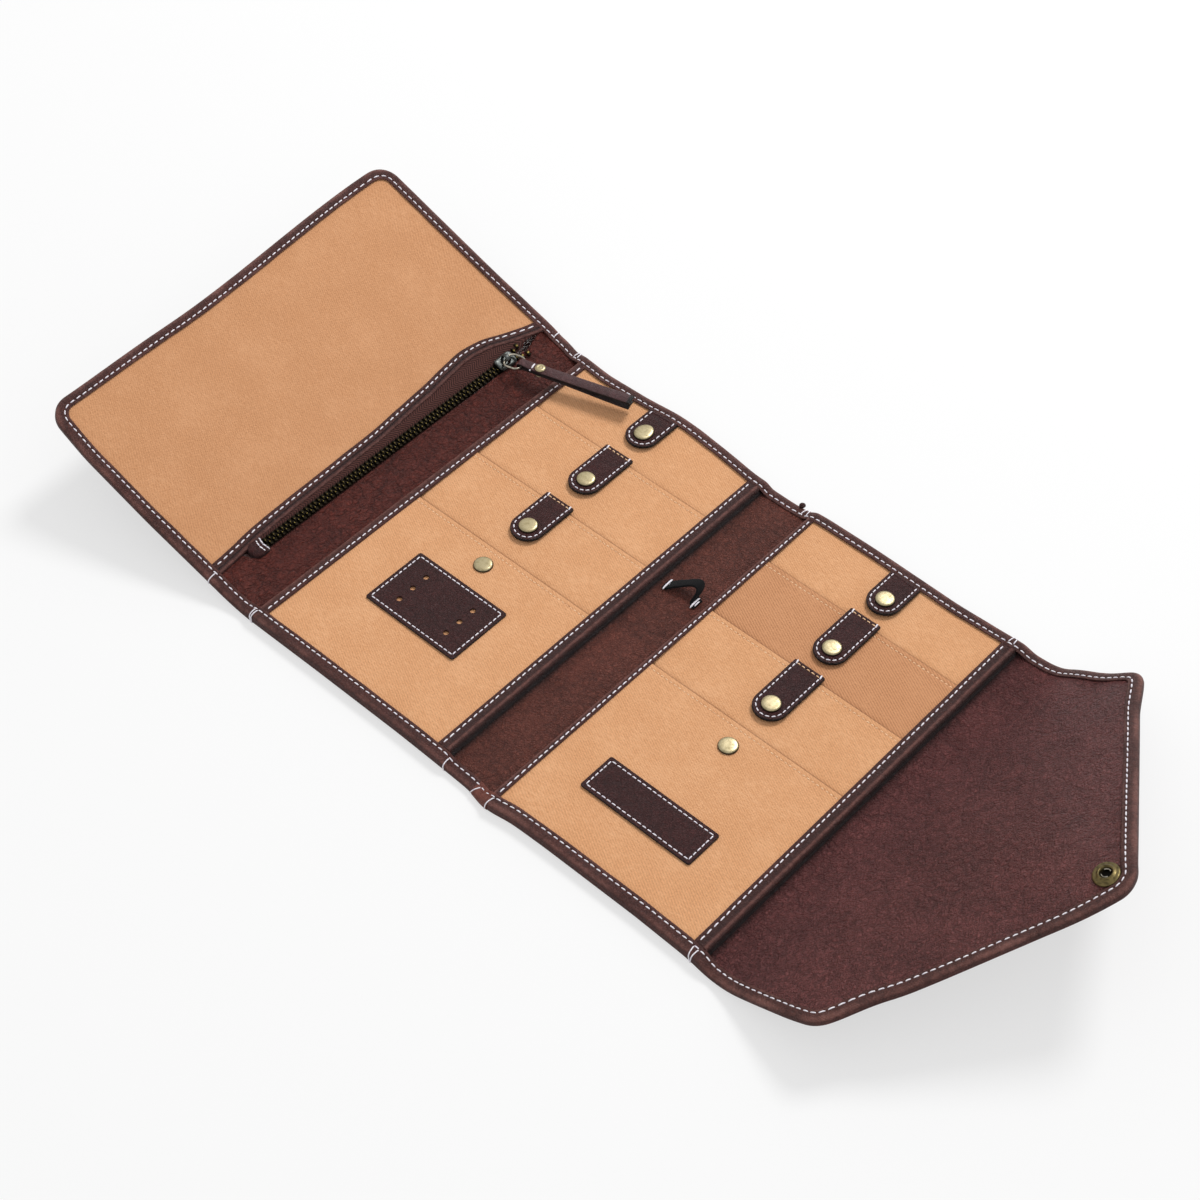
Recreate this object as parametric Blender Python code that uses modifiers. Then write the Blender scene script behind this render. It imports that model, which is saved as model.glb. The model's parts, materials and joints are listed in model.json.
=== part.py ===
"""Knitting needle case, lying open: a long leather case that folds up in four steps.

Seen from above, from left to right: a zip pocket panel, a narrow spine, needle panel A, a second spine,
needle panel B, a gusset and an envelope flap. Each needle panel carries four rows of canvas pockets, and
leather tabs with press studs close three of them. The bodies are hinged to each other in one chain that
starts at needle panel B. Lengths are in metres, +Z is up, and the origin lies on the table under the middle
of the case.
"""
import math

import bmesh
import bpy
from mathutils import Matrix, Vector

# Overall sizes
CASE_WIDTH = 0.256
LEATHER = 0.0022            # outer leather with its backing
LINING = 0.0008             # thin leather on the inner side of spines, gusset and flap
CANVAS = 0.0006
SEAT_GAP = 0.00025          # left between two pieces that lie on each other
HINGE_GAP = 0.0002          # from a fold's axis to the leather on either side of it
WELD = 0.00001              # points nearer than this are one point
FLAT_ANGLE = math.radians(0.2)

# Fold lines
SPINE_2_WIDTH = 0.0272
SPINE_1_WIDTH = 0.0170
GUSSET_WIDTH = 0.0322
SPINE_1_REST = math.radians(12)
ZIP_PANEL_REST = math.radians(19)
GUSSET_REST = math.radians(27)
FLAP_REST = math.radians(29.5)

# Needle panels
POCKET_WIDTH = 0.125
STRIP_WIDTH_A = 0.0062
STRIP_WIDTH_B = 0.0040
MOUTH_WIDTH = 0.0103
FOLD_CLEARANCE = 0.0015     # from a fold's axis to the first raised piece
PANEL_A_MARGIN = 0.0065     # bare leather left of panel A's strip
PANEL_B_MARGIN = 0.0026     # bare leather left of panel B's strip
PANEL_B_LEDGE = 0.0142      # bare leather right of panel B's mouth binding
POCKET_FACE = 0.0033        # height of a pocket's folded edge above the fold axis
POCKET_SLOPE_DROP = 0.0009
POCKET_OVERLAP = 0.013
BINDING_WIDTH = 0.0072
BINDING_WALL = 0.0012
BINDING_TOP = 0.0010
BINDING_ROUND = 0.0007
STRIP_STEP = 0.0001         # how much thinner the strip is than the binding over its ends
SPINE_BINDING_HEIGHT = 0.0019
BINDING_SETBACK = 0.0023
MOUTH_LEG = 0.00095

# Tabs and press studs
TAB_WIDTH = 0.0196
TAB_THICKNESS = 0.0015
TAB_HEIGHT = 0.0041
TAB_SEWN_ABOVE_LINE = 0.0030
TAB_X_A = 0.0598
TAB_X_B = 0.0632
SNAPS_ABOVE_LINE_A = (0.0220, 0.0233, 0.0224)   # from each folded edge up to the press stud above it
SNAPS_ABOVE_LINE_B = (0.0188, 0.0204, 0.0190)
BARE_SNAP_BELOW_A = 0.0126      # from the last folded edge down to the bare stud
BARE_SNAP_BELOW_B = 0.0145
CAP_RADIUS = 0.0054
CAP_DOME = 0.0013
SOCKET_RADIUS = 0.0040
BORE_RADIUS = 0.0026
KNOB_RADIUS = 0.0023
KNOB_NECK = 0.0018
STUD_FLANGE = 0.0045
STUD_BASE = 0.0031
STUD_FLANGE_TOP = 0.0039
KNOB_TOP = 0.0053
SOCKET_FOOT = 0.0043
BORE_TOP = 0.0055

# Patches
PATCH_THICKNESS = 0.0012
HOLE_PATCH_X = 0.0612
HOLE_PATCH_SIZE = (0.0640, 0.0412)
HOLE_RADIUS = 0.0013
HOLE_PITCH = 0.0100
HOLE_COLUMNS = 0.0343
NAME_PATCH_X = 0.0600
NAME_PATCH_SIZE = (0.0712, 0.0234)
PATCH_CORNER = 0.0015

# Elastic loop on spine 2
LOOP_BAND = 0.0050
LOOP_THICKNESS = 0.0010
LOOP_START = 0.0050
LOOP_SPAN = 0.0172
LOOP_RISE = 0.0068

# Zip panel
ZIP_PANEL_LENGTH = 0.1407
ZIP_CORNER = 0.0130
ZIP_FACE = 0.0012
CHAIN_CENTRE = 0.0061       # from the fold's axis to the middle of the chain
CHAIN_WIDTH = 0.0058
CHAIN_HEIGHT = 0.0023
TAPE_THICKNESS = 0.0006
TAPE_EDGE = 0.0014
TAPE_FAR_EDGE = 0.0138
CHAIN_LOW_MARGIN = 0.0360   # from the case's edge to the chain's lower end
CHAIN_HIGH_MARGIN = 0.0200
TAPE_MARGIN = 0.0140
SLIDER_MARGIN = 0.0345      # from the case's edge to the middle of the slider
ZIP_STRIP_START = 0.0122
ZIP_STRIP_WIDTH = 0.0050
ZIP_FACE_START = 0.0143
END_TAB_LENGTH = 0.0092
END_TAB_WIDTH = 0.0094
END_TAB_HEIGHT = 0.0036
SLIDER_LENGTH = 0.0130
SLIDER_WIDTH = 0.0090
SLIDER_NECK = 0.0062
SLIDER_PLATE = 0.0014
SLIDER_GAP = 0.0003
BAIL_SPAN = 0.0052
BAIL_WIDTH = 0.0026
BAIL_THICKNESS = 0.0010
BAIL_ROUND = 0.0008
RING_WIRE = 0.0007
RING_LENGTH = 0.0100
RING_WIDTH = 0.0105
RING_CORNER = 0.0030
RING_SLACK = 0.0008
PULL_YAW = math.radians(16.4)
PULL_LENGTH = 0.0690
PULL_WIDTH = 0.0068
PULL_LAYER = 0.0012
PULL_SLIT = 0.0005
PULL_EYE = 0.0012
PULL_RIVET_AT = 0.0115
RIVET_RADIUS = 0.0031
RIVET_SHANK = 0.0012
RIVET_DOME = 0.0009

# Flap
FLAP_SIDE = 0.0265
FLAP_CORNER = 0.0120
FLAP_TIP_RADIUS = 0.0160
FLAP_SNAP_MARGIN = 0.0145   # from the flap's tip to the middle of its snap
FLAP_SNAP_RADIUS = 0.0071
FLAP_SNAP_BORE = 0.0030
FLAP_SNAP_RISE = 0.0018
FLAP_CAP_RADIUS = 0.0062
FLAP_POST_RADIUS = 0.0020
FLAP_POST_HOLE = 0.0024
CLOSURE_HOLE = 0.0075
CLOSURE_FLANGE = 0.0095
CLOSURE_FLANGE_THICKNESS = 0.0005
CLOSURE_KNOB = 0.0026

# Shares and counts
ROUND_STEPS = 20
ARC_STEPS = 6
ROW_LINE_SHARES_A = (0.656, 0.279, -0.0735)     # folded edges of pockets 2 to 4, as shares of half the width
ROW_LINE_SHARES_B = (0.642, 0.282, -0.09)
HOLE_PATCH_SHARE = -0.461   # height of the patch's middle, as a share of half the width
NAME_PATCH_SHARE = -0.64
LOOP_SHARE = 0.27
FLAP_TIP_SHARE = 0.67       # how far the tapered edge runs back for each unit across
LAST_SLOPE_SHARE = 0.33     # slope of the last pocket, as a share of the others'
MOUTH_ROUND_SHARE = 0.33
STUD_WAIST_SHARE = 0.8
STUD_WIDEST_SHARE = 0.75    # depth of the closure stud's widest ring in the leather
SOCKET_FLOOR_SHARE = 0.25
SOCKET_RIM_SHARE = 0.75
SOCKET_CHAMFER_SHARE = 0.33
DOME_SHARES = ((0.0, 1.0), (0.45, 0.93), (0.8, 0.7), (1.0, 0.35))
LOOP_SHARES = ((0.0, 0.0), (0.10, 0.22), (0.38, 0.56), (0.66, 0.88), (0.82, 1.0), (0.95, 0.93), (1.0, 0.70),
               (0.97, 0.30), (0.93, 0.0))

# Values that follow from the sizes above
HALF_WIDTH = CASE_WIDTH / 2
BINDING_INNER = HALF_WIDTH - BINDING_WIDTH
LEATHER_EDGE = HALF_WIDTH - BINDING_WALL - SEAT_GAP
ROW_LINES_A = tuple(share * HALF_WIDTH for share in ROW_LINE_SHARES_A)
ROW_LINES_B = tuple(share * HALF_WIDTH for share in ROW_LINE_SHARES_B)
LOOP_Y = LOOP_SHARE * HALF_WIDTH
PANEL_A_LENGTH = PANEL_A_MARGIN + STRIP_WIDTH_A + POCKET_WIDTH + MOUTH_WIDTH + FOLD_CLEARANCE
PANEL_B_LENGTH = PANEL_B_MARGIN + STRIP_WIDTH_B + POCKET_WIDTH + MOUTH_WIDTH + PANEL_B_LEDGE
BINDING_LOW = POCKET_FACE + SEAT_GAP
BINDING_HIGH = BINDING_LOW + BINDING_TOP
LINING_LOW = SEAT_GAP
LINING_HIGH = LINING_LOW + LINING
CHAIN_LOW = CHAIN_LOW_MARGIN - HALF_WIDTH
CHAIN_HIGH = HALF_WIDTH - CHAIN_HIGH_MARGIN
TAPE_HIGH = HALF_WIDTH - TAPE_MARGIN
SLIDER_Y = HALF_WIDTH - SLIDER_MARGIN
CHAIN_LOW_FACE = SEAT_GAP + TAPE_THICKNESS + SEAT_GAP
CHAIN_TOP = CHAIN_LOW_FACE + CHAIN_HEIGHT
SLIDER_TOP = CHAIN_TOP + SLIDER_GAP + SLIDER_PLATE
RING_HEIGHT = SLIDER_TOP + RING_SLACK + RING_WIRE

FLAP_SLANT = math.hypot(1, FLAP_TIP_SHARE)
FLAP_POINT = FLAP_SIDE + FLAP_TIP_SHARE * HALF_WIDTH
FLAP_REACH = FLAP_POINT - FLAP_TIP_RADIUS * (FLAP_SLANT - 1)
FLAP_SNAP_AT = FLAP_REACH - FLAP_SNAP_MARGIN

# Reach of the open case on either side of the fold between spine 2 and panel B
LEFT_REACH = (SPINE_2_WIDTH + PANEL_A_LENGTH + SPINE_1_WIDTH * math.cos(SPINE_1_REST)
              + ZIP_PANEL_LENGTH * math.cos(ZIP_PANEL_REST) + LEATHER * math.sin(ZIP_PANEL_REST))
RIGHT_REACH = (PANEL_B_LENGTH + GUSSET_WIDTH * math.cos(GUSSET_REST) + FLAP_REACH * math.cos(FLAP_REST)
               + LEATHER * math.sin(FLAP_REST))
ROOT_X = (LEFT_REACH - RIGHT_REACH) / 2

COLOURS = {
    "brown_leather": ((0.075, 0.030, 0.024), 0.45, 0.0),
    "flap_leather": ((0.090, 0.032, 0.023), 0.42, 0.0),
    "dark_leather": ((0.025, 0.015, 0.014), 0.38, 0.0),
    "canvas": ((0.730, 0.376, 0.171), 0.9, 0.0),
    "antique_brass": ((0.620, 0.520, 0.300), 0.32, 1.0),
    "dark_brass": ((0.150, 0.115, 0.050), 0.4, 1.0),
    "gunmetal": ((0.080, 0.085, 0.080), 0.3, 1.0),
    "zip_tape": ((0.060, 0.035, 0.030), 0.85, 0.0),
    "black_elastic": ((0.006, 0.007, 0.008), 0.8, 0.0),
}


def clear_scene():
    for scene_object in list(bpy.data.objects):
        bpy.data.objects.remove(scene_object, do_unlink=True)


def new_collection(name):
    collection = bpy.data.collections.new(name)
    bpy.context.scene.collection.children.link(collection)
    return collection


clear_scene()
CASE = new_collection("knitting_needle_case")
CUTTERS = new_collection("cutters")


def material(name):
    found = bpy.data.materials.get(name)
    if found:
        return found
    colour, roughness, metallic = COLOURS[name]
    made = bpy.data.materials.new(name)
    made.use_nodes = True
    shader = made.node_tree.nodes["Principled BSDF"]
    shader.inputs["Base Color"].default_value = (*colour, 1.0)
    shader.inputs["Roughness"].default_value = roughness
    shader.inputs["Metallic"].default_value = metallic
    made.diffuse_color = (*colour, 1.0)
    return made


def frame(name, parent, location, tilt=0.0, yaw=0.0):
    """An empty on a joint's axis; tilt turns about Y and lifts the side at -X."""
    empty = bpy.data.objects.new(name, None)
    CASE.objects.link(empty)
    empty.parent = parent
    empty.location = location
    empty.rotation_euler = (0.0, tilt, yaw)
    return empty


def place(name, data, parent, finish, location=(0, 0, 0), rotation=(0, 0, 0)):
    """Link an object, parent it and give it its material."""
    placed = bpy.data.objects.new(name, data)
    CASE.objects.link(placed)
    placed.parent = parent
    placed.location = location
    placed.rotation_euler = rotation
    if finish:
        data.materials.append(material(finish))
    return placed


def outline_curve(name, outlines, thickness):
    """A flat outline with any holes, as a filled 2D curve of the given thickness."""
    curve = bpy.data.curves.new(name, "CURVE")
    curve.dimensions = "2D"
    curve.fill_mode = "BOTH"
    curve.extrude = thickness / 2
    for outline in outlines:
        spline = curve.splines.new("POLY")
        spline.points.add(len(outline) - 1)
        for point, (x, y) in zip(spline.points, outline):
            point.co = (x, y, 0.0, 1.0)
        spline.use_cyclic_u = True
    return curve


def plate(name, outlines, low, high, parent, finish):
    """A flat piece between two heights."""
    curve = outline_curve(name, outlines, high - low)
    return place(name, curve, parent, finish, location=(0, 0, (low + high) / 2))


def section_along_y(name, outlines, centre_y, length, parent, finish):
    """A section drawn in X and Z, carried along Y."""
    curve = outline_curve(name, outlines, length)
    return place(name, curve, parent, finish, location=(0, centre_y, 0), rotation=(math.pi / 2, 0, 0))


def section_along_x(name, outlines, centre_x, length, parent, finish):
    """A section drawn in Y and Z, carried along X."""
    curve = outline_curve(name, outlines, length)
    return place(name, curve, parent, finish, location=(centre_x, 0, 0),
                 rotation=(math.pi / 2, 0, math.pi / 2))


def as_mesh(curve_object):
    """Turn a curve object into a welded mesh object with the same name, place and parent."""
    name = curve_object.name
    bpy.context.view_layer.update()
    evaluated = curve_object.evaluated_get(bpy.context.evaluated_depsgraph_get())
    mesh = bpy.data.meshes.new_from_object(evaluated)
    cage = bmesh.new()
    cage.from_mesh(mesh)
    bmesh.ops.remove_doubles(cage, verts=cage.verts, dist=WELD)
    bmesh.ops.dissolve_limit(cage, angle_limit=FLAT_ANGLE, verts=cage.verts, edges=cage.edges)
    cage.to_mesh(mesh)
    cage.free()
    parent = curve_object.parent
    world = curve_object.matrix_world.copy()
    collections = list(curve_object.users_collection)
    bpy.data.objects.remove(curve_object, do_unlink=True)
    made = bpy.data.objects.new(name, mesh)
    for collection in collections:
        collection.objects.link(made)
    made.parent = parent
    made.matrix_world = world
    return made


def union(name, pieces):
    """Join overlapping curve pieces into one solid; the first one carries the modifiers."""
    meshes = [as_mesh(piece) for piece in pieces]
    body = meshes[0]
    for index, extra in enumerate(meshes[1:]):
        for collection in list(extra.users_collection):
            collection.objects.unlink(extra)
        CUTTERS.objects.link(extra)
        extra.name = f"{name}_joined_{index + 1}"
        extra.hide_render = True
        extra.display_type = "WIRE"
        boolean = body.modifiers.new(f"join_{index + 1}", "BOOLEAN")
        boolean.operation = "UNION"
        boolean.object = extra
    body.name = name
    return body


def box_outline(x_low, x_high, y_low, y_high):
    return [(x_low, y_low), (x_high, y_low), (x_high, y_high), (x_low, y_high)]


def circle(x, y, radius, steps=ROUND_STEPS):
    return [(x + radius * math.cos(2 * math.pi * i / steps), y + radius * math.sin(2 * math.pi * i / steps))
            for i in range(steps)]


def rounded(corners, steps=ARC_STEPS):
    """An outline through corners given as (x, y, radius), each corner an arc that meets both its sides."""
    points = []
    count = len(corners)
    for i, (x, y, radius) in enumerate(corners):
        if radius == 0:
            points.append((x, y))
            continue
        here = Vector((x, y))
        before = (Vector(corners[i - 1][:2]) - here).normalized()
        after = (Vector(corners[(i + 1) % count][:2]) - here).normalized()
        half = before.angle(after) / 2
        centre = here + (before + after).normalized() * radius / math.sin(half)
        first = here + before * radius / math.tan(half) - centre
        last = here + after * radius / math.tan(half) - centre
        sweep = first.angle_signed(last)
        for step in range(steps + 1):
            arc_point = Matrix.Rotation(-sweep * step / steps, 2) @ first
            points.append(tuple(centre + arc_point))
    return points


def turned(name, profile, parent, finish, location, flip=False):
    """A turned piece: the profile runs from the axis at the top, down the outside, to the axis below."""
    mesh = bpy.data.meshes.new(name)
    points = [(radius, 0.0, height) for radius, height in profile]
    mesh.from_pydata(points, [(i, i + 1) for i in range(len(points) - 1)], [])
    made = place(name, mesh, parent, finish, location=location, rotation=(math.pi if flip else 0, 0, 0))
    screw = made.modifiers.new("turn", "SCREW")
    screw.axis = "Z"
    screw.steps = ROUND_STEPS
    screw.render_steps = ROUND_STEPS
    screw.use_merge_vertices = True
    screw.merge_threshold = WELD
    screw.use_smooth_shade = True
    return made


def dome(radius, low, rise):
    """Points of a domed cap from the axis at the top down to its rim."""
    return [(radius * across, low + rise * up) for across, up in DOME_SHARES]


def bound_section(high_edge):
    """Section of a spine's lining with its two long edges wrapped by binding, in Y and Z."""
    outer = HALF_WIDTH
    wall = HALF_WIDTH - BINDING_WALL
    inner = BINDING_INNER
    return [(-outer, -LEATHER), (-wall, -LEATHER), (-wall, LINING_LOW), (wall, LINING_LOW), (wall, -LEATHER),
            (outer, -LEATHER), (outer, high_edge), (inner, high_edge), (inner, LINING_HIGH),
            (-inner, LINING_HIGH), (-inner, high_edge), (-outer, high_edge)]


def spine(name, parent, direction, width):
    """Outer leather and bound lining of a narrow strip that runs from its fold's axis in one direction."""
    centre = direction * width / 2
    length = width - 2 * HINGE_GAP
    outline = box_outline(centre - length / 2, centre + length / 2, -LEATHER_EDGE, LEATHER_EDGE)
    plate(f"{name}_outer_leather", [outline], -LEATHER, 0, parent, "brown_leather")
    section_along_x(f"{name}_bound_lining", [bound_section(SPINE_BINDING_HEIGHT)], centre, length, parent,
                    "brown_leather")


def pocket_rows(name, parent, left, strip_width, lines):
    """Four canvas pockets, each a sheet that slopes down behind the folded edge of the next."""
    tops = (LEATHER_EDGE, *lines)
    ends = tuple(line - POCKET_OVERLAP for line in lines) + (-LEATHER_EDGE,)
    low_x = left + SEAT_GAP
    high_x = left + strip_width + POCKET_WIDTH + MOUTH_WIDTH / 2
    for index, (top, end) in enumerate(zip(tops, ends)):
        run = top - (lines[index] if index < len(lines) else -LEATHER_EDGE)
        drop = POCKET_SLOPE_DROP if index < len(lines) else POCKET_SLOPE_DROP * LAST_SLOPE_SHARE
        foot = POCKET_FACE - drop * (top - end) / run
        section = [(top, POCKET_FACE - CANVAS), (top, POCKET_FACE), (end, foot), (end, foot - CANVAS)]
        section_along_x(f"{name}_pocket_row_{index + 1}", [section], (low_x + high_x) / 2, high_x - low_x,
                        parent, "canvas")


def edge_binding(name, parent, low_x, high_x, strip_low, strip_width):
    """Binding folded over a needle panel's two long edges, with the strip sewn across between them."""
    outer = HALF_WIDTH
    wall = outer - BINDING_WALL
    pieces = []
    for side in (-1, 1):
        corners = [(wall, -LEATHER, 0), (outer, -LEATHER, 0), (outer, BINDING_HIGH, BINDING_ROUND),
                   (BINDING_INNER, BINDING_HIGH, 0), (BINDING_INNER, BINDING_LOW, 0), (wall, BINDING_LOW, 0)]
        section = [(side * y, z) for y, z in rounded(corners, 3)]
        pieces.append(section_along_x(f"{name}_{side}", [section], (low_x + high_x) / 2, high_x - low_x,
                                      parent, "brown_leather"))
    reach = BINDING_INNER + BINDING_WIDTH / 3
    pieces.append(plate(f"{name}_strip", [box_outline(strip_low, strip_low + strip_width, -reach, reach)],
                        BINDING_LOW + STRIP_STEP, BINDING_HIGH - STRIP_STEP, parent, "brown_leather"))
    return union(name, pieces)


def mouth_binding(name, parent, left):
    """Leather folded round the right-hand edge of the pockets, along the mouth of the slip pocket."""
    right = left + MOUTH_WIDTH
    low = SEAT_GAP
    high = BINDING_HIGH
    leg = MOUTH_LEG
    round_off = (high - low) * MOUTH_ROUND_SHARE
    corners = [(left, low, 0), (right, low, round_off), (right, high, round_off), (left, high, 0)]
    section = rounded(corners, 3)
    section += [(left, high - leg), (right - leg, high - leg), (right - leg, low + leg), (left, low + leg)]
    length = 2 * (BINDING_INNER - SEAT_GAP)
    return section_along_y(name, [section], 0.0, length, parent, "brown_leather")


def press_stud(name, parent, x, y):
    """The fixed half of a tab's press stud, seated on a pocket."""
    knob_waist = (SOCKET_FOOT + STUD_FLANGE_TOP) / 2
    profile = [(0, KNOB_TOP), (KNOB_NECK, KNOB_TOP), (KNOB_RADIUS, (KNOB_TOP + SOCKET_FOOT) / 2),
               (KNOB_NECK, knob_waist), (KNOB_NECK, STUD_FLANGE_TOP), (STUD_FLANGE, STUD_FLANGE_TOP),
               (STUD_FLANGE, STUD_BASE), (0, STUD_BASE)]
    turned(name, profile, parent, "antique_brass", (x, y, 0))


def bare_snap(name, parent, x, y):
    """A press stud's cap set in the folded edge of the last pocket."""
    profile = dome(CAP_RADIUS, POCKET_FACE + SEAT_GAP, CAP_DOME)
    profile += [(CAP_RADIUS, POCKET_FACE + SEAT_GAP), (0, POCKET_FACE + SEAT_GAP)]
    turned(name, profile, parent, "antique_brass", (x, y, 0))


def tab(name, panel_frame, x, sewn_y, snap_y):
    """A leather tab that lifts about its sewn end, with the cap and socket of its press stud."""
    top = TAB_HEIGHT + TAB_THICKNESS
    hinge = frame(f"{name}_fold", panel_frame, (x, sewn_y, top))
    half = TAB_WIDTH / 2
    snap = snap_y - sewn_y
    arc = [(half * math.cos(math.pi + math.pi * i / ROUND_STEPS),
            snap + half * math.sin(math.pi + math.pi * i / ROUND_STEPS)) for i in range(ROUND_STEPS + 1)]
    outline = arc + [(half, 0), (-half, 0)]
    hole = circle(0, snap, SOCKET_RADIUS + HINGE_GAP)
    plate(f"{name}_strap", [outline, hole], -TAB_THICKNESS, 0, hinge, "brown_leather")
    profile = dome(CAP_RADIUS, SEAT_GAP, CAP_DOME)
    profile += [(CAP_RADIUS, SEAT_GAP), (SOCKET_RADIUS, SEAT_GAP), (SOCKET_RADIUS, SOCKET_FOOT - top),
                (BORE_RADIUS, SOCKET_FOOT - top), (BORE_RADIUS, BORE_TOP - top), (0, BORE_TOP - top)]
    turned(f"{name}_cap", profile, hinge, "antique_brass", (0, snap, 0))


def needle_panel(name, panel_frame, fold_axes, margin, strip_width, lines, tab_x, above_lines, bare_below):
    """Everything that both needle panels carry, between the fold axes on its left and right."""
    left, right = fold_axes
    pockets_left = left + margin
    fabric = pockets_left + strip_width
    pocket_rows(name, panel_frame, pockets_left, strip_width, lines)
    edge_binding(f"{name}_edge_binding", panel_frame, left + BINDING_SETBACK, right - BINDING_SETBACK,
                 pockets_left, strip_width)
    mouth_binding(f"{name}_mouth_binding", panel_frame, fabric + POCKET_WIDTH)
    x = fabric + tab_x
    sewn = (BINDING_INNER - SEAT_GAP, lines[0] + TAB_SEWN_ABOVE_LINE, lines[1] + TAB_SEWN_ABOVE_LINE)
    snaps = [line + above for line, above in zip(lines, above_lines)]
    for index, (sewn_y, snap_y) in enumerate(zip(sewn, snaps)):
        press_stud(f"{name}_tab_{index + 1}_stud", panel_frame, x, snap_y)
        tab(f"{name}_tab_{index + 1}", panel_frame, x, sewn_y, snap_y)
    bare_snap(f"{name}_row_4_snap", panel_frame, x, lines[-1] - bare_below)
    return fabric


def patch(name, parent, centre, size, holes=()):
    """A small leather patch sewn on the last pocket."""
    half_x = size[0] / 2
    half_y = size[1] / 2
    corners = [(-half_x, -half_y), (half_x, -half_y), (half_x, half_y), (-half_x, half_y)]
    outline = rounded([(centre[0] + x, centre[1] + y, PATCH_CORNER) for x, y in corners], 2)
    low = POCKET_FACE + SEAT_GAP
    plate(name, [outline, *holes], low, low + PATCH_THICKNESS, parent, "brown_leather")


def build_panel_b():
    root = frame("panel_b_frame", None, (ROOT_X, 0, LEATHER))
    outline = box_outline(HINGE_GAP, PANEL_B_LENGTH - HINGE_GAP, -LEATHER_EDGE, LEATHER_EDGE)
    plate("panel_b_outer_leather", [outline], -LEATHER, 0, root, "brown_leather")
    fabric = needle_panel("panel_b", root, (0, PANEL_B_LENGTH), PANEL_B_MARGIN, STRIP_WIDTH_B, ROW_LINES_B,
                          TAB_X_B, SNAPS_ABOVE_LINE_B, BARE_SNAP_BELOW_B)
    centre = (fabric + NAME_PATCH_X, NAME_PATCH_SHARE * HALF_WIDTH)
    patch("panel_b_name_patch", root, centre, NAME_PATCH_SIZE)
    return root


def elastic_loop(parent):
    """A band sewn down at both ends that stands up in an uneven arch."""
    outer = [(LOOP_SPAN * along, LOOP_RISE * up) for along, up in LOOP_SHARES]
    inner = []
    for i, point in enumerate(outer):
        before = Vector(outer[max(i - 1, 0)])
        after = Vector(outer[min(i + 1, len(outer) - 1)])
        side = (after - before).normalized()
        inner.append((point[0] + side.y * LOOP_THICKNESS, point[1] - side.x * LOOP_THICKNESS))
    inner[0] = (inner[0][0], 0.0)
    inner[-1] = (inner[-1][0], 0.0)
    section = outer + inner[::-1]
    loop = section_along_y("spine_2_elastic_loop", [section], LOOP_Y, LOOP_BAND, parent, "black_elastic")
    loop.location = (-SPINE_2_WIDTH + LOOP_START, LOOP_Y, LINING_HIGH + SEAT_GAP)
    return loop


def build_spine_2(root):
    axis = frame("spine_2_frame", root, (0, 0, 0))
    spine("spine_2", axis, -1, SPINE_2_WIDTH)
    elastic_loop(axis)
    return axis


def build_panel_a(spine_2):
    axis = frame("panel_a_frame", spine_2, (-SPINE_2_WIDTH, 0, 0))
    left = -PANEL_A_LENGTH
    stud_x = -(PANEL_B_LENGTH - FLAP_SNAP_AT)
    outline = box_outline(left + HINGE_GAP, -HINGE_GAP, -LEATHER_EDGE, LEATHER_EDGE)
    plate("panel_a_outer_leather", [outline, circle(stud_x, 0, CLOSURE_HOLE)], -LEATHER, 0, axis,
          "brown_leather")
    fabric = needle_panel("panel_a", axis, (left, 0), PANEL_A_MARGIN, STRIP_WIDTH_A, ROW_LINES_A, TAB_X_A,
                          SNAPS_ABOVE_LINE_A, BARE_SNAP_BELOW_A)
    centre = (fabric + HOLE_PATCH_X, HOLE_PATCH_SHARE * HALF_WIDTH)
    holes = [circle(centre[0] + side * HOLE_COLUMNS / 2, centre[1] + row * HOLE_PITCH, HOLE_RADIUS, 10)
             for side in (-1, 1) for row in (-1, 0, 1)]
    patch("panel_a_hole_patch", axis, centre, HOLE_PATCH_SIZE, holes)
    flange_top = SEAT_GAP + CLOSURE_FLANGE_THICKNESS
    waist = CLOSURE_KNOB * STUD_WAIST_SHARE
    profile = [(0, flange_top), (CLOSURE_FLANGE, flange_top), (CLOSURE_FLANGE, SEAT_GAP), (waist, SEAT_GAP),
               (waist, -LEATHER / 2), (CLOSURE_KNOB, -LEATHER * STUD_WIDEST_SHARE), (waist, -LEATHER),
               (0, -LEATHER)]
    turned("panel_a_closure_stud", profile, axis, "antique_brass", (stud_x, 0, 0))
    return axis


def build_spine_1(panel_a):
    axis = frame("spine_1_frame", panel_a, (-PANEL_A_LENGTH, 0, 0), tilt=SPINE_1_REST)
    spine("spine_1", axis, -1, SPINE_1_WIDTH)
    return axis


def zip_outline(inset, near):
    """Outline of the zip panel with two round corners at its far edge, drawn in by an inset."""
    far = -ZIP_PANEL_LENGTH + inset
    side = HALF_WIDTH - inset
    radius = ZIP_CORNER - inset
    return [(-near, -side, 0), (-near, side, 0), (far, side, radius), (far, -side, radius)]


def band(outer_corners, inner_corners):
    """A band open at its near side, between an outer and an inner outline of four or more corners."""
    outer = rounded(outer_corners)
    inner = rounded(inner_corners)
    return outer[1:] + outer[:1] + inner[:1] + inner[:0:-1]


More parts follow.
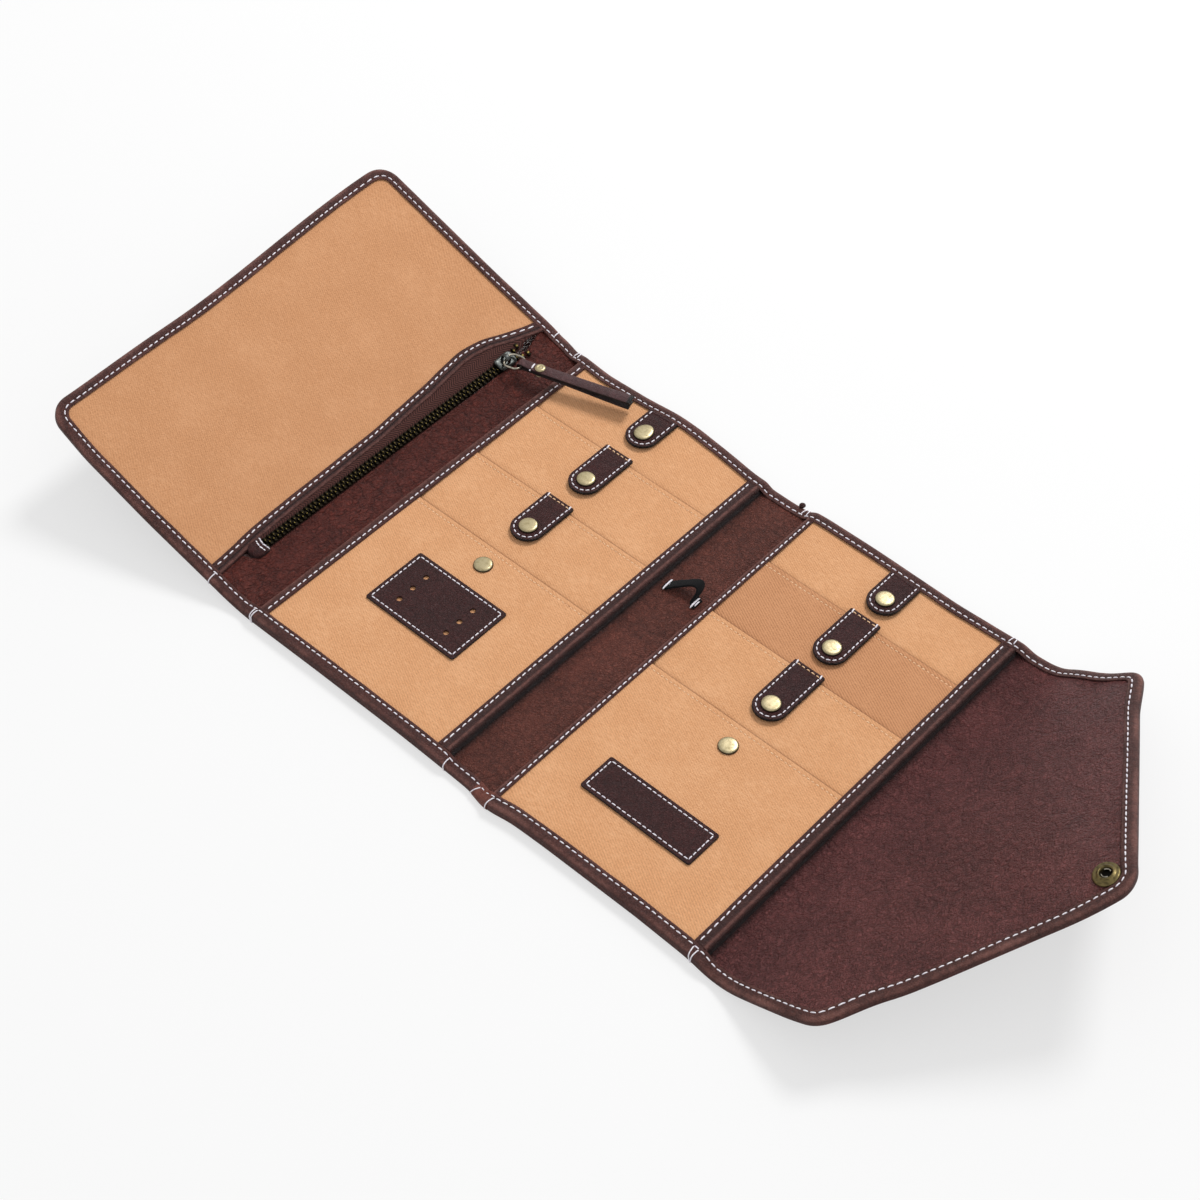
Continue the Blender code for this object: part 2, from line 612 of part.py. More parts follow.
def build_zip_panel(spine_1):
    axis = frame("zip_panel_frame", spine_1, (-SPINE_1_WIDTH, 0, 0), tilt=ZIP_PANEL_REST - SPINE_1_REST)
    edge = BINDING_WALL + SEAT_GAP
    plate("zip_panel_outer_leather", [rounded(zip_outline(edge, HINGE_GAP))], -LEATHER, 0, axis,
          "brown_leather")
    plate("zip_panel_canvas_face", [rounded(zip_outline(edge, ZIP_FACE_START))], SEAT_GAP,
          SEAT_GAP + ZIP_FACE, axis, "canvas")
    face_top = SEAT_GAP + ZIP_FACE
    outer = zip_outline(0, BINDING_SETBACK)
    top = plate("zip_panel_edge_binding", [band(outer, zip_outline(BINDING_WIDTH, BINDING_SETBACK))],
                face_top + SEAT_GAP, face_top + SEAT_GAP + BINDING_TOP, axis, "brown_leather")
    wall = plate("zip_panel_edge_binding_wall", [band(outer, zip_outline(BINDING_WALL, BINDING_SETBACK))],
                 -LEATHER, face_top + SEAT_GAP + BINDING_TOP / 2, axis, "brown_leather")
    union("zip_panel_edge_binding", [top, wall])
    strip_half = BINDING_INNER - SEAT_GAP
    plate("zip_panel_zip_strip", [box_outline(-ZIP_STRIP_START - ZIP_STRIP_WIDTH, -ZIP_STRIP_START,
                                              -strip_half, strip_half)],
          face_top + SEAT_GAP, face_top + SEAT_GAP + BINDING_TOP, axis, "brown_leather")
    plate("zip_panel_zip_tape", [box_outline(-TAPE_FAR_EDGE, -TAPE_EDGE, CHAIN_LOW, TAPE_HIGH)], SEAT_GAP,
          SEAT_GAP + TAPE_THICKNESS, axis, "zip_tape")
    half_chain = CHAIN_WIDTH / 2
    plate("zip_panel_zip_teeth", [box_outline(-CHAIN_CENTRE - half_chain, -CHAIN_CENTRE + half_chain,
                                              CHAIN_LOW, CHAIN_HIGH)],
          CHAIN_LOW_FACE, CHAIN_TOP, axis, "dark_brass")
    tab_high = CHAIN_LOW - SEAT_GAP
    half_tab = END_TAB_WIDTH / 2
    tab_corners = box_outline(-CHAIN_CENTRE - half_tab, -CHAIN_CENTRE + half_tab, tab_high - END_TAB_LENGTH,
                              tab_high)
    plate("zip_panel_zip_end_tab", [rounded([(x, y, PATCH_CORNER) for x, y in tab_corners], 2)], SEAT_GAP,
          SEAT_GAP + END_TAB_HEIGHT, axis, "dark_leather")
    return axis


def build_slider(zip_panel):
    """Slider over the chain, with an arched bail that the ring passes through."""
    axis = frame("zip_slider_frame", zip_panel, (-CHAIN_CENTRE, SLIDER_Y, 0))
    half = SLIDER_WIDTH / 2
    inner = CHAIN_WIDTH / 2 + SLIDER_GAP
    foot = SEAT_GAP + TAPE_THICKNESS + SEAT_GAP
    roof = CHAIN_TOP + SLIDER_GAP
    top = SLIDER_TOP
    section = [(-half, foot), (-inner, foot), (-inner, roof), (inner, roof), (inner, foot), (half, foot),
               (half, top), (-half, top)]
    body = section_along_y("zip_slider", [section], 0, SLIDER_LENGTH, axis, "gunmetal")
    bail_half = BAIL_SPAN / 2
    low = top - SLIDER_PLATE / 2
    high = RING_HEIGHT + RING_WIRE + RING_SLACK + BAIL_THICKNESS
    hole_half = bail_half - BAIL_THICKNESS
    hole_high = high - BAIL_THICKNESS
    arch = rounded([(-bail_half, low, 0), (-bail_half, high, BAIL_ROUND), (bail_half, high, BAIL_ROUND),
                    (bail_half, low, 0)], 2)
    arch += [(hole_half, low), (hole_half, hole_high), (-hole_half, hole_high), (-hole_half, low)]
    bail = section_along_y("zip_slider_bail", [arch], 0, BAIL_WIDTH, axis, "gunmetal")
    union("zip_slider", [body, bail])
    return axis


def build_pull(slider):
    """Wire ring in the bail, and the folded leather pull that hangs on it, lying across the case."""
    ring_axis = frame("pull_ring_frame", slider, (0, 0, RING_HEIGHT), tilt=-ZIP_PANEL_REST)
    ring_axis.rotation_euler.rotate_axis("Z", PULL_YAW)
    half = RING_WIDTH / 2
    corners = [(0, -half, RING_CORNER), (RING_LENGTH, -half, RING_CORNER), (RING_LENGTH, half, RING_CORNER),
               (0, half, RING_CORNER)]
    path = rounded(corners, 4)
    curve = bpy.data.curves.new("pull_ring", "CURVE")
    curve.dimensions = "3D"
    curve.bevel_depth = RING_WIRE
    curve.bevel_resolution = 1
    spline = curve.splines.new("POLY")
    spline.points.add(len(path) - 1)
    for point, (x, y) in zip(spline.points, path):
        point.co = (x, y, 0.0, 1.0)
    spline.use_cyclic_u = True
    place("pull_ring", curve, ring_axis, "gunmetal")

    eye_axis = frame("pull_leather_frame", ring_axis, (RING_LENGTH, 0, 0))
    outer = PULL_EYE + PULL_LAYER
    flat = PULL_SLIT / 2 + PULL_LAYER
    reach = outer * 2
    eye_arc = [(PULL_EYE * math.cos(a), PULL_EYE * math.sin(a)) for a in angles(60, 300, 8)]
    outer_arc = [(outer * math.cos(a), outer * math.sin(a)) for a in angles(300, 60, 8)]
    section = [(PULL_LENGTH, PULL_SLIT / 2), (reach, PULL_SLIT / 2)] + eye_arc + [(reach, -PULL_SLIT / 2),
              (PULL_LENGTH, -PULL_SLIT / 2), (PULL_LENGTH, -flat), (reach, -flat)] + outer_arc + [
              (reach, flat), (PULL_LENGTH, flat)]
    leather = as_mesh(section_along_y("pull_leather", [section], 0, PULL_WIDTH, eye_axis, "dark_leather"))
    drill = turned("pull_rivet_hole", [(0, outer * 2), (RIVET_SHANK + HINGE_GAP, outer * 2),
                                       (RIVET_SHANK + HINGE_GAP, -outer * 2), (0, -outer * 2)],
                   eye_axis, None, (PULL_RIVET_AT, 0, 0))
    CASE.objects.unlink(drill)
    CUTTERS.objects.link(drill)
    drill.hide_render = True
    drill.display_type = "WIRE"
    cut = leather.modifiers.new("rivet_hole", "BOOLEAN")
    cut.operation = "DIFFERENCE"
    cut.object = drill
    low = flat + SEAT_GAP
    head = dome(RIVET_RADIUS, low, RIVET_DOME)
    head += [(RIVET_RADIUS, low), (RIVET_SHANK, low), (RIVET_SHANK, -low), (RIVET_RADIUS, -low)]
    head += [(RIVET_RADIUS * across, -low - RIVET_DOME * up) for across, up in DOME_SHARES[::-1]]
    turned("pull_rivet", head, eye_axis, "antique_brass", (PULL_RIVET_AT, 0, 0))
    return ring_axis, eye_axis


def angles(start, end, steps):
    return [math.radians(start + (end - start) * i / steps) for i in range(steps + 1)]


def build_gusset(root):
    axis = frame("gusset_frame", root, (PANEL_B_LENGTH, 0, 0), tilt=-GUSSET_REST)
    spine("gusset", axis, 1, GUSSET_WIDTH)
    return axis


def flap_outline(inset, near):
    """Outline of the flap: straight sides, then two tapered edges that meet at a round tip."""
    side = HALF_WIDTH - inset
    corner = FLAP_SIDE - inset * (FLAP_SLANT - FLAP_TIP_SHARE)
    point = FLAP_POINT - inset * FLAP_SLANT
    rounding = FLAP_TIP_RADIUS - inset
    return [(near, side, 0), (near, -side, 0), (corner, -side, FLAP_CORNER - inset),
            (point, 0, rounding), (corner, side, FLAP_CORNER - inset)]


def build_flap(gusset):
    axis = frame("flap_frame", gusset, (GUSSET_WIDTH, 0, 0), tilt=-(FLAP_REST - GUSSET_REST))
    edge = BINDING_WALL + SEAT_GAP
    post_hole = circle(FLAP_SNAP_AT, 0, FLAP_POST_HOLE)
    plate("flap_outer_leather", [rounded(flap_outline(edge, HINGE_GAP)), post_hole], -LEATHER, 0, axis,
          "flap_leather")
    plate("flap_lining", [rounded(flap_outline(edge, BINDING_SETBACK)), post_hole], LINING_LOW, LINING_HIGH,
          axis, "flap_leather")
    low = LINING_HIGH + SEAT_GAP
    high = low + LINING
    outer = flap_outline(0, BINDING_SETBACK)
    top = plate("flap_edge_binding", [band(outer, flap_outline(BINDING_WIDTH, BINDING_SETBACK))], low, high,
                axis, "brown_leather")
    wall = plate("flap_edge_binding_wall", [band(outer, flap_outline(BINDING_WALL, BINDING_SETBACK))],
                 -LEATHER, (low + high) / 2, axis, "brown_leather")
    union("flap_edge_binding", [top, wall])
    socket_top = low + FLAP_SNAP_RISE
    floor = low + FLAP_SNAP_RISE * SOCKET_FLOOR_SHARE
    rim = FLAP_SNAP_RADIUS * SOCKET_RIM_SHARE
    shoulder = socket_top - FLAP_SNAP_RISE * SOCKET_CHAMFER_SHARE
    profile = [(0, floor), (FLAP_SNAP_BORE, floor), (FLAP_SNAP_BORE, socket_top), (rim, socket_top),
               (FLAP_SNAP_RADIUS, shoulder), (FLAP_SNAP_RADIUS, low), (0, low)]
    turned("flap_snap_socket", profile, axis, "antique_brass", (FLAP_SNAP_AT, 0, 0))
    cap_low = LEATHER + SEAT_GAP
    cap = dome(FLAP_CAP_RADIUS, cap_low, CAP_DOME)
    cap += [(FLAP_CAP_RADIUS, cap_low), (FLAP_POST_RADIUS, cap_low), (FLAP_POST_RADIUS, -LINING_HIGH),
            (0, -LINING_HIGH)]
    turned("flap_snap_cap", cap, axis, "antique_brass", (FLAP_SNAP_AT, 0, 0), flip=True)
    return axis


def finish_shading():
    """Round pieces are shaded smooth across their gentle edges."""
    for scene_object in CASE.objects:
        if scene_object.type == "MESH" and scene_object.data.polygons:
            scene_object.data.shade_smooth()
            scene_object.data.set_sharp_from_angle(angle=math.radians(35))


def main():
    root = build_panel_b()
    spine_2 = build_spine_2(root)
    panel_a = build_panel_a(spine_2)
    spine_1 = build_spine_1(panel_a)
    zip_panel = build_zip_panel(spine_1)
    slider = build_slider(zip_panel)
    build_pull(slider)
    gusset = build_gusset(root)
    build_flap(gusset)
    finish_shading()


main()
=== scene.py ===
# Knitting needle case, lying open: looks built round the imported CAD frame.
# Shapes are worked out in millimetres and go into the meshes in metres.
import math

import bpy
import numpy as np
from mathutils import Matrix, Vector
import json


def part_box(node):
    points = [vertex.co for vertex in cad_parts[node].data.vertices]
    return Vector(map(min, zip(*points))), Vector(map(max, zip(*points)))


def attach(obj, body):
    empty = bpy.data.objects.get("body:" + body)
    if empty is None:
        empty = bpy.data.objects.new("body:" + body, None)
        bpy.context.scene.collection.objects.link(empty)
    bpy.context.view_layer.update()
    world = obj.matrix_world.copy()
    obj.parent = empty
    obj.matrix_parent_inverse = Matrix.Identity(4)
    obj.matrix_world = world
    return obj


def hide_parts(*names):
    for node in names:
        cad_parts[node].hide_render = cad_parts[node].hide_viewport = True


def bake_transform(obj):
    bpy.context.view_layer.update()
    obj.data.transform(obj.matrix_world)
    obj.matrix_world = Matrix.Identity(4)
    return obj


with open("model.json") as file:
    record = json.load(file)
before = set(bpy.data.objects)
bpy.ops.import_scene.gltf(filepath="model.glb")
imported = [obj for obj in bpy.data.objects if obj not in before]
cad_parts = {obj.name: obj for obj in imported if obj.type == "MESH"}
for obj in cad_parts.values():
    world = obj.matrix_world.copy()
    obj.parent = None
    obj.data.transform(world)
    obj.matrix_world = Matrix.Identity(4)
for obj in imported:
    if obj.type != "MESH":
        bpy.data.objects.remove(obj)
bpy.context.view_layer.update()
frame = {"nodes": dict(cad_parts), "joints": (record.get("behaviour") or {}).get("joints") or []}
joints = {joint["name"]: joint for joint in frame["joints"]}
print("frame loaded:", len(frame["nodes"]), "nodes")


# camera at the photograph's angle

cameraView = {"place": (0.5346, -0.6083, 0.9830), "azimuth": 42.21, "drop": 49.88, "lens": 72.99}


def makeCamera(settings):
    # looks down by the drop angle, turned by the azimuth from straight ahead
    data = bpy.data.cameras.new("camera")
    data.lens = settings["lens"]
    data.sensor_width = 36
    camera = bpy.data.objects.new("camera", data)
    bpy.context.scene.collection.objects.link(camera)
    azimuth, drop = math.radians(settings["azimuth"]), math.radians(settings["drop"])
    look = Vector((-math.sin(azimuth) * math.cos(drop), math.cos(azimuth) * math.cos(drop), -math.sin(drop)))
    camera.location = settings["place"]
    camera.rotation_mode = "QUATERNION"
    camera.rotation_quaternion = look.to_track_quat("-Z", "Y")
    bpy.context.scene.camera = camera


makeCamera(cameraView)
print("camera placed")


# materials

class Link:
    # one output of a node; arithmetic on it adds Math nodes
    def __init__(self, finish, socket):
        self.finish = finish
        self.socket = socket

    def maths(self, operation, first, second=0.0, third=0.0):
        return self.finish.add("ShaderNodeMath", {"operation": operation}, {0: first, 1: second, 2: third})

    def __add__(self, other):
        return self.maths("ADD", self, other)

    def __radd__(self, other):
        return self.maths("ADD", other, self)

    def __sub__(self, other):
        return self.maths("SUBTRACT", self, other)

    def __rsub__(self, other):
        return self.maths("SUBTRACT", other, self)

    def __mul__(self, other):
        return self.maths("MULTIPLY", self, other)

    def __rmul__(self, other):
        return self.maths("MULTIPLY", other, self)

    def __abs__(self):
        return self.maths("ABSOLUTE", self)

    def sine(self):
        return self.maths("SINE", self)

    def between(self, low, high):
        # 0 below low, 1 above high, smooth in between
        return self.finish.add("ShaderNodeMapRange", {"interpolation_type": "SMOOTHSTEP"},
                               {"Value": self, "From Min": low, "From Max": high})


class Finish:
    # a material while its nodes are being added
    def __init__(self, name, **fixed):
        self.material = bpy.data.materials.new(name)
        self.material.use_nodes = True
        self.tree = self.material.node_tree
        self.shader = self.tree.nodes["Principled BSDF"]
        for socket, value in fixed.items():
            self.shader.inputs[socket.replace("_", " ")].default_value = value

    def add(self, kind, settings=None, sockets=None, out=0):
        node = self.tree.nodes.new(kind)
        for key, value in (settings or {}).items():
            setattr(node, key, value)
        for key, value in (sockets or {}).items():
            if isinstance(value, Link):
                self.tree.links.new(value.socket, node.inputs[key])
            elif not (isinstance(key, int) and key >= len(node.inputs)):
                node.inputs[key].default_value = value
        return Link(self, node.outputs[out])

    def place(self):
        return self.add("ShaderNodeTexCoord", out="Object")

    def flat(self):
        return self.add("ShaderNodeUVMap", {"uv_map": "flat"})

    def own(self, name):
        return self.add("ShaderNodeAttribute", {"attribute_name": name}, out="Fac")

    def noise(self, where, scale, detail=2.0, rough=0.5, out="Fac"):
        return self.add("ShaderNodeTexNoise", None,
                        {"Vector": where, "Scale": scale, "Detail": detail, "Roughness": rough}, out)

    def cells(self, where, scale, feature="DISTANCE_TO_EDGE", out="Distance"):
        return self.add("ShaderNodeTexVoronoi", {"feature": feature},
                        {"Vector": where, "Scale": scale}, out)

    def shift(self, where, offset, amount):
        moved = self.add("ShaderNodeVectorMath", {"operation": "SCALE"}, {"Vector": offset, "Scale": amount})
        return self.add("ShaderNodeVectorMath", {"operation": "ADD"}, {0: where, 1: moved})

    def split(self, where):
        node = self.tree.nodes.new("ShaderNodeSeparateXYZ")
        self.tree.links.new(where.socket, node.inputs[0])
        return [Link(self, output) for output in node.outputs]

    def colour(self, share, low, high):
        # low where share is 0, high where it is 1
        return self.add("ShaderNodeMix", {"data_type": "RGBA"}, {0: share, 6: low, 7: high}, out=2)

    def feed(self, socket, value):
        self.tree.links.new(value.socket, self.shader.inputs[socket])

    def bump(self, height, depth, strength=1.0):
        self.feed("Normal", self.add("ShaderNodeBump", None,
                                     {"Height": height, "Distance": depth, "Strength": strength}))


def tint(red, green, blue):
    # a colour as it shows on a screen, 0 to 255, made linear
    share = np.array([red, green, blue]) / 255
    linear = np.where(share <= 0.04045, share / 12.92, ((share + 0.055) / 1.055) ** 2.4)
    return (*linear.tolist(), 1.0)


# worn is the lighter colour where the rim attribute is set: partly real wear, partly painted highlight; paint
# is the near-black of painted edges, also used for painted shade
leatherLooks = {
    "brownLeather": {"deep": tint(40, 18, 16), "body": tint(90, 47, 41), "worn": tint(128, 84, 76),
                     "paint": tint(18, 10, 12), "grain": 1.3, "drawn": 0.8, "depth": 0.0006, "crease": 0.6,
                     "rough": 0.40},
    "liningLeather": {"deep": tint(40, 15, 13), "body": tint(120, 54, 44), "worn": tint(142, 84, 72),
                      "paint": tint(16, 9, 10), "grain": 2.1, "drawn": 0.5, "depth": 0.0017, "crease": 0.8,
                      "rough": 0.36},
    "spineLeather": {"deep": tint(44, 20, 15), "body": tint(131, 71, 58), "worn": tint(154, 102, 88),
                     "paint": tint(16, 9, 10), "grain": 1.7, "drawn": 0.8, "depth": 0.0013, "crease": 0.6,
                     "rough": 0.42},
    "flapLeather": {"deep": tint(52, 26, 27), "body": tint(145, 85, 83), "worn": tint(146, 104, 99),
                    "paint": tint(18, 10, 12), "grain": 1.8, "drawn": 0.6, "depth": 0.0022, "crease": 0.65,
                    "rough": 0.30},
    "patchLeather": {"deep": tint(30, 10, 11), "body": tint(73, 28, 27), "worn": tint(116, 78, 74),
                     "paint": tint(10, 7, 9), "grain": 1.5, "drawn": 0.8, "depth": 0.0009, "crease": 0.6,
                     "rough": 0.38},
    "darkLeather": {"deep": tint(40, 22, 23), "body": tint(94, 58, 60), "worn": tint(120, 92, 92),
                    "paint": tint(8, 6, 8), "grain": 1.2, "drawn": 0.8, "depth": 0.0004, "crease": 0.5,
                    "rough": 0.34},
    "redLeather": {"deep": tint(84, 38, 30), "body": tint(124, 66, 54), "worn": tint(146, 96, 82),
                   "paint": tint(30, 16, 16), "grain": 1.3, "drawn": 0.8, "depth": 0.0006, "crease": 0.5,
                   "rough": 0.38},
}


def makeLeather(name, look):
    # fine wavy grain, about a millimetre wide and drawn out across the case, over soft pebbles and
    # pores, with a few long shallow creases; the rim attribute lightens the colour towards the worn tone,
    # partly real wear and partly painted highlight along turned edges and ridges, and the paint attribute
    # darkens painted cut edges and also paints shade in crevices and under rolled edges
    finish = Finish(name, IOR=1.45, Specular_IOR_Level=0.34)
    place = finish.place()
    warp = finish.noise(place, 160, 3, out="Color")
    drawn = finish.add("ShaderNodeMapping", None, {"Vector": finish.shift(place, warp, 0.0024),
                                                   "Scale": (1.0, look["drawn"], 1.0)})
    grain = finish.noise(drawn, 1000 / look["grain"], 3, 0.6)
    veins = 1 - (abs(grain - 0.5) * 12).between(0.0, 1.0)
    pebble = finish.cells(drawn, 1300 / look["grain"]).between(0.0, 0.36)
    pores = finish.noise(place, 1900, 3, 0.7).between(0.3, 0.7)
    crease = finish.noise(finish.shift(place, warp, 0.004), 90, 4, 0.55)
    lines = 1 - (abs(crease - 0.5) * 16).between(0.0, 1.0)
    height = pebble * 0.35 + grain * 0.8 - veins * 0.3 + pores * 0.16 - lines * (0.5 * look["crease"])
    cloud = finish.noise(place, 24, 4, 0.6).between(0.32, 0.68)
    mottle = finish.noise(place, 300, 3, 0.65).between(0.3, 0.7)
    base = finish.colour(0.16 + cloud * 0.24 + mottle * 0.34 + pores * 0.42, look["deep"], look["body"])
    base = finish.colour(veins * 0.28 + (1 - pebble) * 0.20 + lines * (0.25 * look["crease"]), base,
                         look["deep"])
    # rim: partly real wear, partly painted highlight
    rim = finish.own("rim") * (0.7 + mottle * 0.4)
    base = finish.colour(rim.between(0.2, 1.1) * 0.85, base, look["worn"])
    # paint: painted cut edges, and painted shade where a piece marks a crevice
    base = finish.colour(finish.own("paint"), base, look["paint"])
    finish.feed("Base Color", base)
    finish.feed("Roughness", look["rough"] + veins * 0.12 + (1 - pores) * 0.10)
    finish.bump(height, look["depth"])
    return finish.material


canvasLooks = {
    "canvas": {"thread": tint(232, 172, 123), "gap": tint(186, 130, 88), "light": tint(243, 189, 143),
               "shade": tint(128, 80, 48), "pitch": 0.012, "ribs": 0.35, "slope": 63, "depth": 0.00018},
    "zipCanvas": {"thread": tint(218, 159, 113), "gap": tint(178, 123, 83), "light": tint(226, 170, 126),
                  "shade": tint(128, 80, 48), "pitch": 0.012, "ribs": 0.30, "slope": 63, "depth": 0.00018},
    "twillCanvas": {"thread": tint(211, 151, 107), "gap": tint(166, 112, 75), "light": tint(218, 159, 115),
                    "shade": tint(120, 74, 44), "pitch": 0.0135, "ribs": 0.65, "slope": 63, "depth": 0.00018},
}


def makeCanvas(name, look):
    # twill: diagonal ribs on the piece's own flat coordinates, cut across into short floats and
    # broken up by yarns of uneven thickness, with slubs that stretch along the yarn, a faint
    # unevenness of the dye, and darker cloth where the shade attribute marks a fold
    finish = Finish(name, Roughness=0.88, Sheen_Weight=0.12, Sheen_Roughness=0.5, Specular_IOR_Level=0.3)
    flat = finish.flat()
    wobble = finish.noise(flat, 60, 2, out="Color")
    u, v, _ = finish.split(finish.shift(flat, wobble, 0.003))
    slope = math.radians(look["slope"])
    turn = 2 * math.pi / look["pitch"]
    rib = ((u * math.cos(slope) + v * math.sin(slope)) * turn).sine() * 0.5 + 0.5
    floats = ((u * math.sin(slope) - v * math.cos(slope)) * (turn * 0.8)).sine() * 0.5 + 0.5
    fuzz = finish.noise(flat, 95, 4, 0.75).between(0.28, 0.72)
    fine = finish.noise(flat, 260, 2, 0.7)
    drawn = finish.add("ShaderNodeMapping", None, {"Vector": flat, "Scale": (20, 130, 1)})
    slub = finish.noise(drawn, 1.0, 3)
    cloud = finish.noise(flat, 4, 3, 0.6)
    ribs = look["ribs"]
    weave = rib * ribs + fuzz * (1 - 0.6 * ribs) * 0.8 + fine * 0.3
    base = finish.colour(weave, look["gap"], look["thread"])
    base = finish.colour((cloud * 0.4 + slub * 0.6).between(0.42, 0.68) * 0.5, base, look["light"])
    base = finish.colour(finish.own("shade"), base, look["shade"])
    finish.feed("Base Color", base)
    finish.bump(rib * ribs + floats * 0.25 + fuzz * 0.6, look["depth"])
    return finish.material


def makeThread(name, dark, light):
    # twisted sewing thread: fine shading along and across each stitch
    finish = Finish(name, Roughness=0.55, Sheen_Weight=0.2)
    place = finish.place()
    soft = finish.noise(place, 1500, 2)
    finish.feed("Base Color", finish.colour(soft.between(0.3, 0.65), dark, light))
    finish.bump(finish.noise(place, 4500, 2), 0.00008)
    return finish.material


# dark is the colour where the paint attribute is 1: on the caps a painted dark reflection low on their sides,
# in the flap socket painted shade in its hollow, and on darkBrass the painted highlight on the teeth's beads
metalLooks = {
    "antiqueBrass": {"bright": tint(164, 152, 121), "dull": tint(120, 109, 80), "dark": tint(30, 27, 22),
                     "rough": 0.30, "scale": 420},
    "oldBrass": {"bright": tint(104, 92, 60), "dull": tint(52, 45, 30), "dark": tint(12, 10, 7),
                 "rough": 0.34, "scale": 520},
    "darkBrass": {"bright": tint(30, 26, 19), "dull": tint(14, 12, 10), "dark": tint(186, 164, 92),
                  "rough": 0.42, "scale": 700},
    "gunmetal": {"bright": tint(74, 76, 74), "dull": tint(34, 36, 35), "dark": tint(12, 12, 12),
                 "rough": 0.28, "scale": 380},
    "ringSteel": {"bright": tint(160, 154, 140), "dull": tint(92, 86, 76), "dark": tint(40, 38, 34),
                  "rough": 0.28, "scale": 500},
}


def makeMetal(name, look):
    # plated metal with cloudy tarnish, brushed very finely
    finish = Finish(name, Metallic=1.0)
    place = finish.place()
    cloud = finish.noise(place, look["scale"], 4, 0.6)
    drawn = finish.add("ShaderNodeMapping", None, {"Vector": place, "Scale": (900, 6000, 900)})
    scratch = finish.noise(drawn, 1.0, 2)
    tarnish = cloud.between(0.38, 0.72)
    base = finish.colour(tarnish * 0.75, look["bright"], look["dull"])
    # paint mixes in the dark colour, which pieces use for painted reflection, painted shade and painted
    # highlight
    finish.feed("Base Color", finish.colour(finish.own("paint"), base, look["dark"]))
    finish.feed("Roughness", look["rough"] + tarnish * 0.14 + scratch * 0.06)
    finish.bump(scratch * 0.4 + cloud * 0.6, 0.00002)
    return finish.material


def makeWoven(name, dark, light, pitch, depth, column=0.034):
    # herringbone tape: slanting ribs on the piece's own flat coordinates that turn about at every
    # column, softened by fuzz
    finish = Finish(name, Roughness=0.9, Sheen_Weight=0.04, Specular_IOR_Level=0.15)
    flat = finish.flat()
    u, v, _ = finish.split(flat)
    fold = finish.add("ShaderNodeMath", {"operation": "PINGPONG"}, {0: u, 1: column})
    weave = ((v + fold * 0.9) * (2 * math.pi / pitch)).sine() * 0.5 + 0.5
    fuzz = finish.noise(flat, 400, 3, 0.7).between(0.3, 0.7)
    finish.feed("Base Color", finish.colour(weave * 0.65 + fuzz * 0.35, dark, light))
    finish.bump(weave * 0.7 + fuzz * 0.4, depth)
    return finish.material


finishes = {name: makeLeather(name, look) for name, look in leatherLooks.items()}
finishes.update({name: makeMetal(name, look) for name, look in metalLooks.items()})
finishes.update({name: makeCanvas(name, look) for name, look in canvasLooks.items()})
finishes["whiteThread"] = makeThread("whiteThread", tint(226, 219, 234), tint(255, 252, 255))
finishes["tanThread"] = makeThread("tanThread", tint(226, 174, 128), tint(255, 216, 172))
finishes["zipTape"] = makeWoven("zipTape", tint(24, 12, 11), tint(106, 66, 60), 0.017, 0.00040)
finishes["blackElastic"] = makeWoven("blackElastic", tint(5, 5, 6), tint(20, 20, 23), 0.009, 0.00015)
print("materials made:", len(finishes))


# the line of the case, seen from the side

caseLine = {
    "joints": ["zip_panel_fold", "spine_1_fold", "panel_a_fold", "spine_2_fold", "gusset_fold", "flap_fold"],
    "bodies": ["zip_panel", "spine_1", "panel_a", "spine_2", "panel_b", "gusset", "flap"],
    "rise": [-19, -12, 0, 0, 0, 27, 29.5],     # degrees of each stretch, upwards to the flap's side
    "bend": [7, 8, 5, 4, 13, 16],              # half the length of each rounded fold
    "halfWidth": 128.0,
    "setIn": 1.45,                             # from the bound edge to the leather's own edge
    "bindingWidth": 7.25,
}
foldXz = np.array([joints[name]["pos_m"] for name in caseLine["joints"]])[:, [0, 2]] * 1000
foldAt = np.concatenate([[0], np.cumsum(np.hypot(*np.diff(foldXz, axis=0).T))])
foldAt -= foldAt[3]                            # 0 is the fold between spine 2 and panel B
riseAngles = np.radians(caseLine["rise"])
stretchWay = np.stack([np.cos(riseAngles), np.sin(riseAngles)], -1)
flatOrigin = np.array([foldXz[3, 0], 0.0, foldXz[3, 1]])
zipFold, spineFold, panelAFold, panelBFold, gussetFold, flapFold = foldAt


def smooth(share):
    # an S curve from 0 to 1
    share = np.clip(share, 0, 1)
    return share * share * (3 - 2 * share)


def ripple(a, b, seed, size=40.0):
    # a sum of five plane waves of fixed random directions and phases, about -1 to 1
    random = np.random.default_rng(seed)
    total = 0.0
    for _ in range(5):
        angle, phase, stretch = random.uniform(0, 2 * math.pi, 2).tolist() + [random.uniform(0.6, 1.6)]
        wave = 2 * math.pi / (size * stretch)
        total = total + np.sin((a * math.cos(angle) + b * math.sin(angle)) * wave + phase)
    return total / 3.2


def softened(values, times):
    # a row of numbers or points, rounded off with its two ends held
    for _ in range(times):
        values[1:-1] = (values[:-2] + 2 * values[1:-1] + values[2:]) / 4
    return values


def eased(points, low=-360, high=320):
    # a polyline resampled every millimetre and rounded off
    grid = np.linspace(low, high, high - low + 1)
    return grid, softened(np.interp(grid, *np.array(points, float).T), 30)


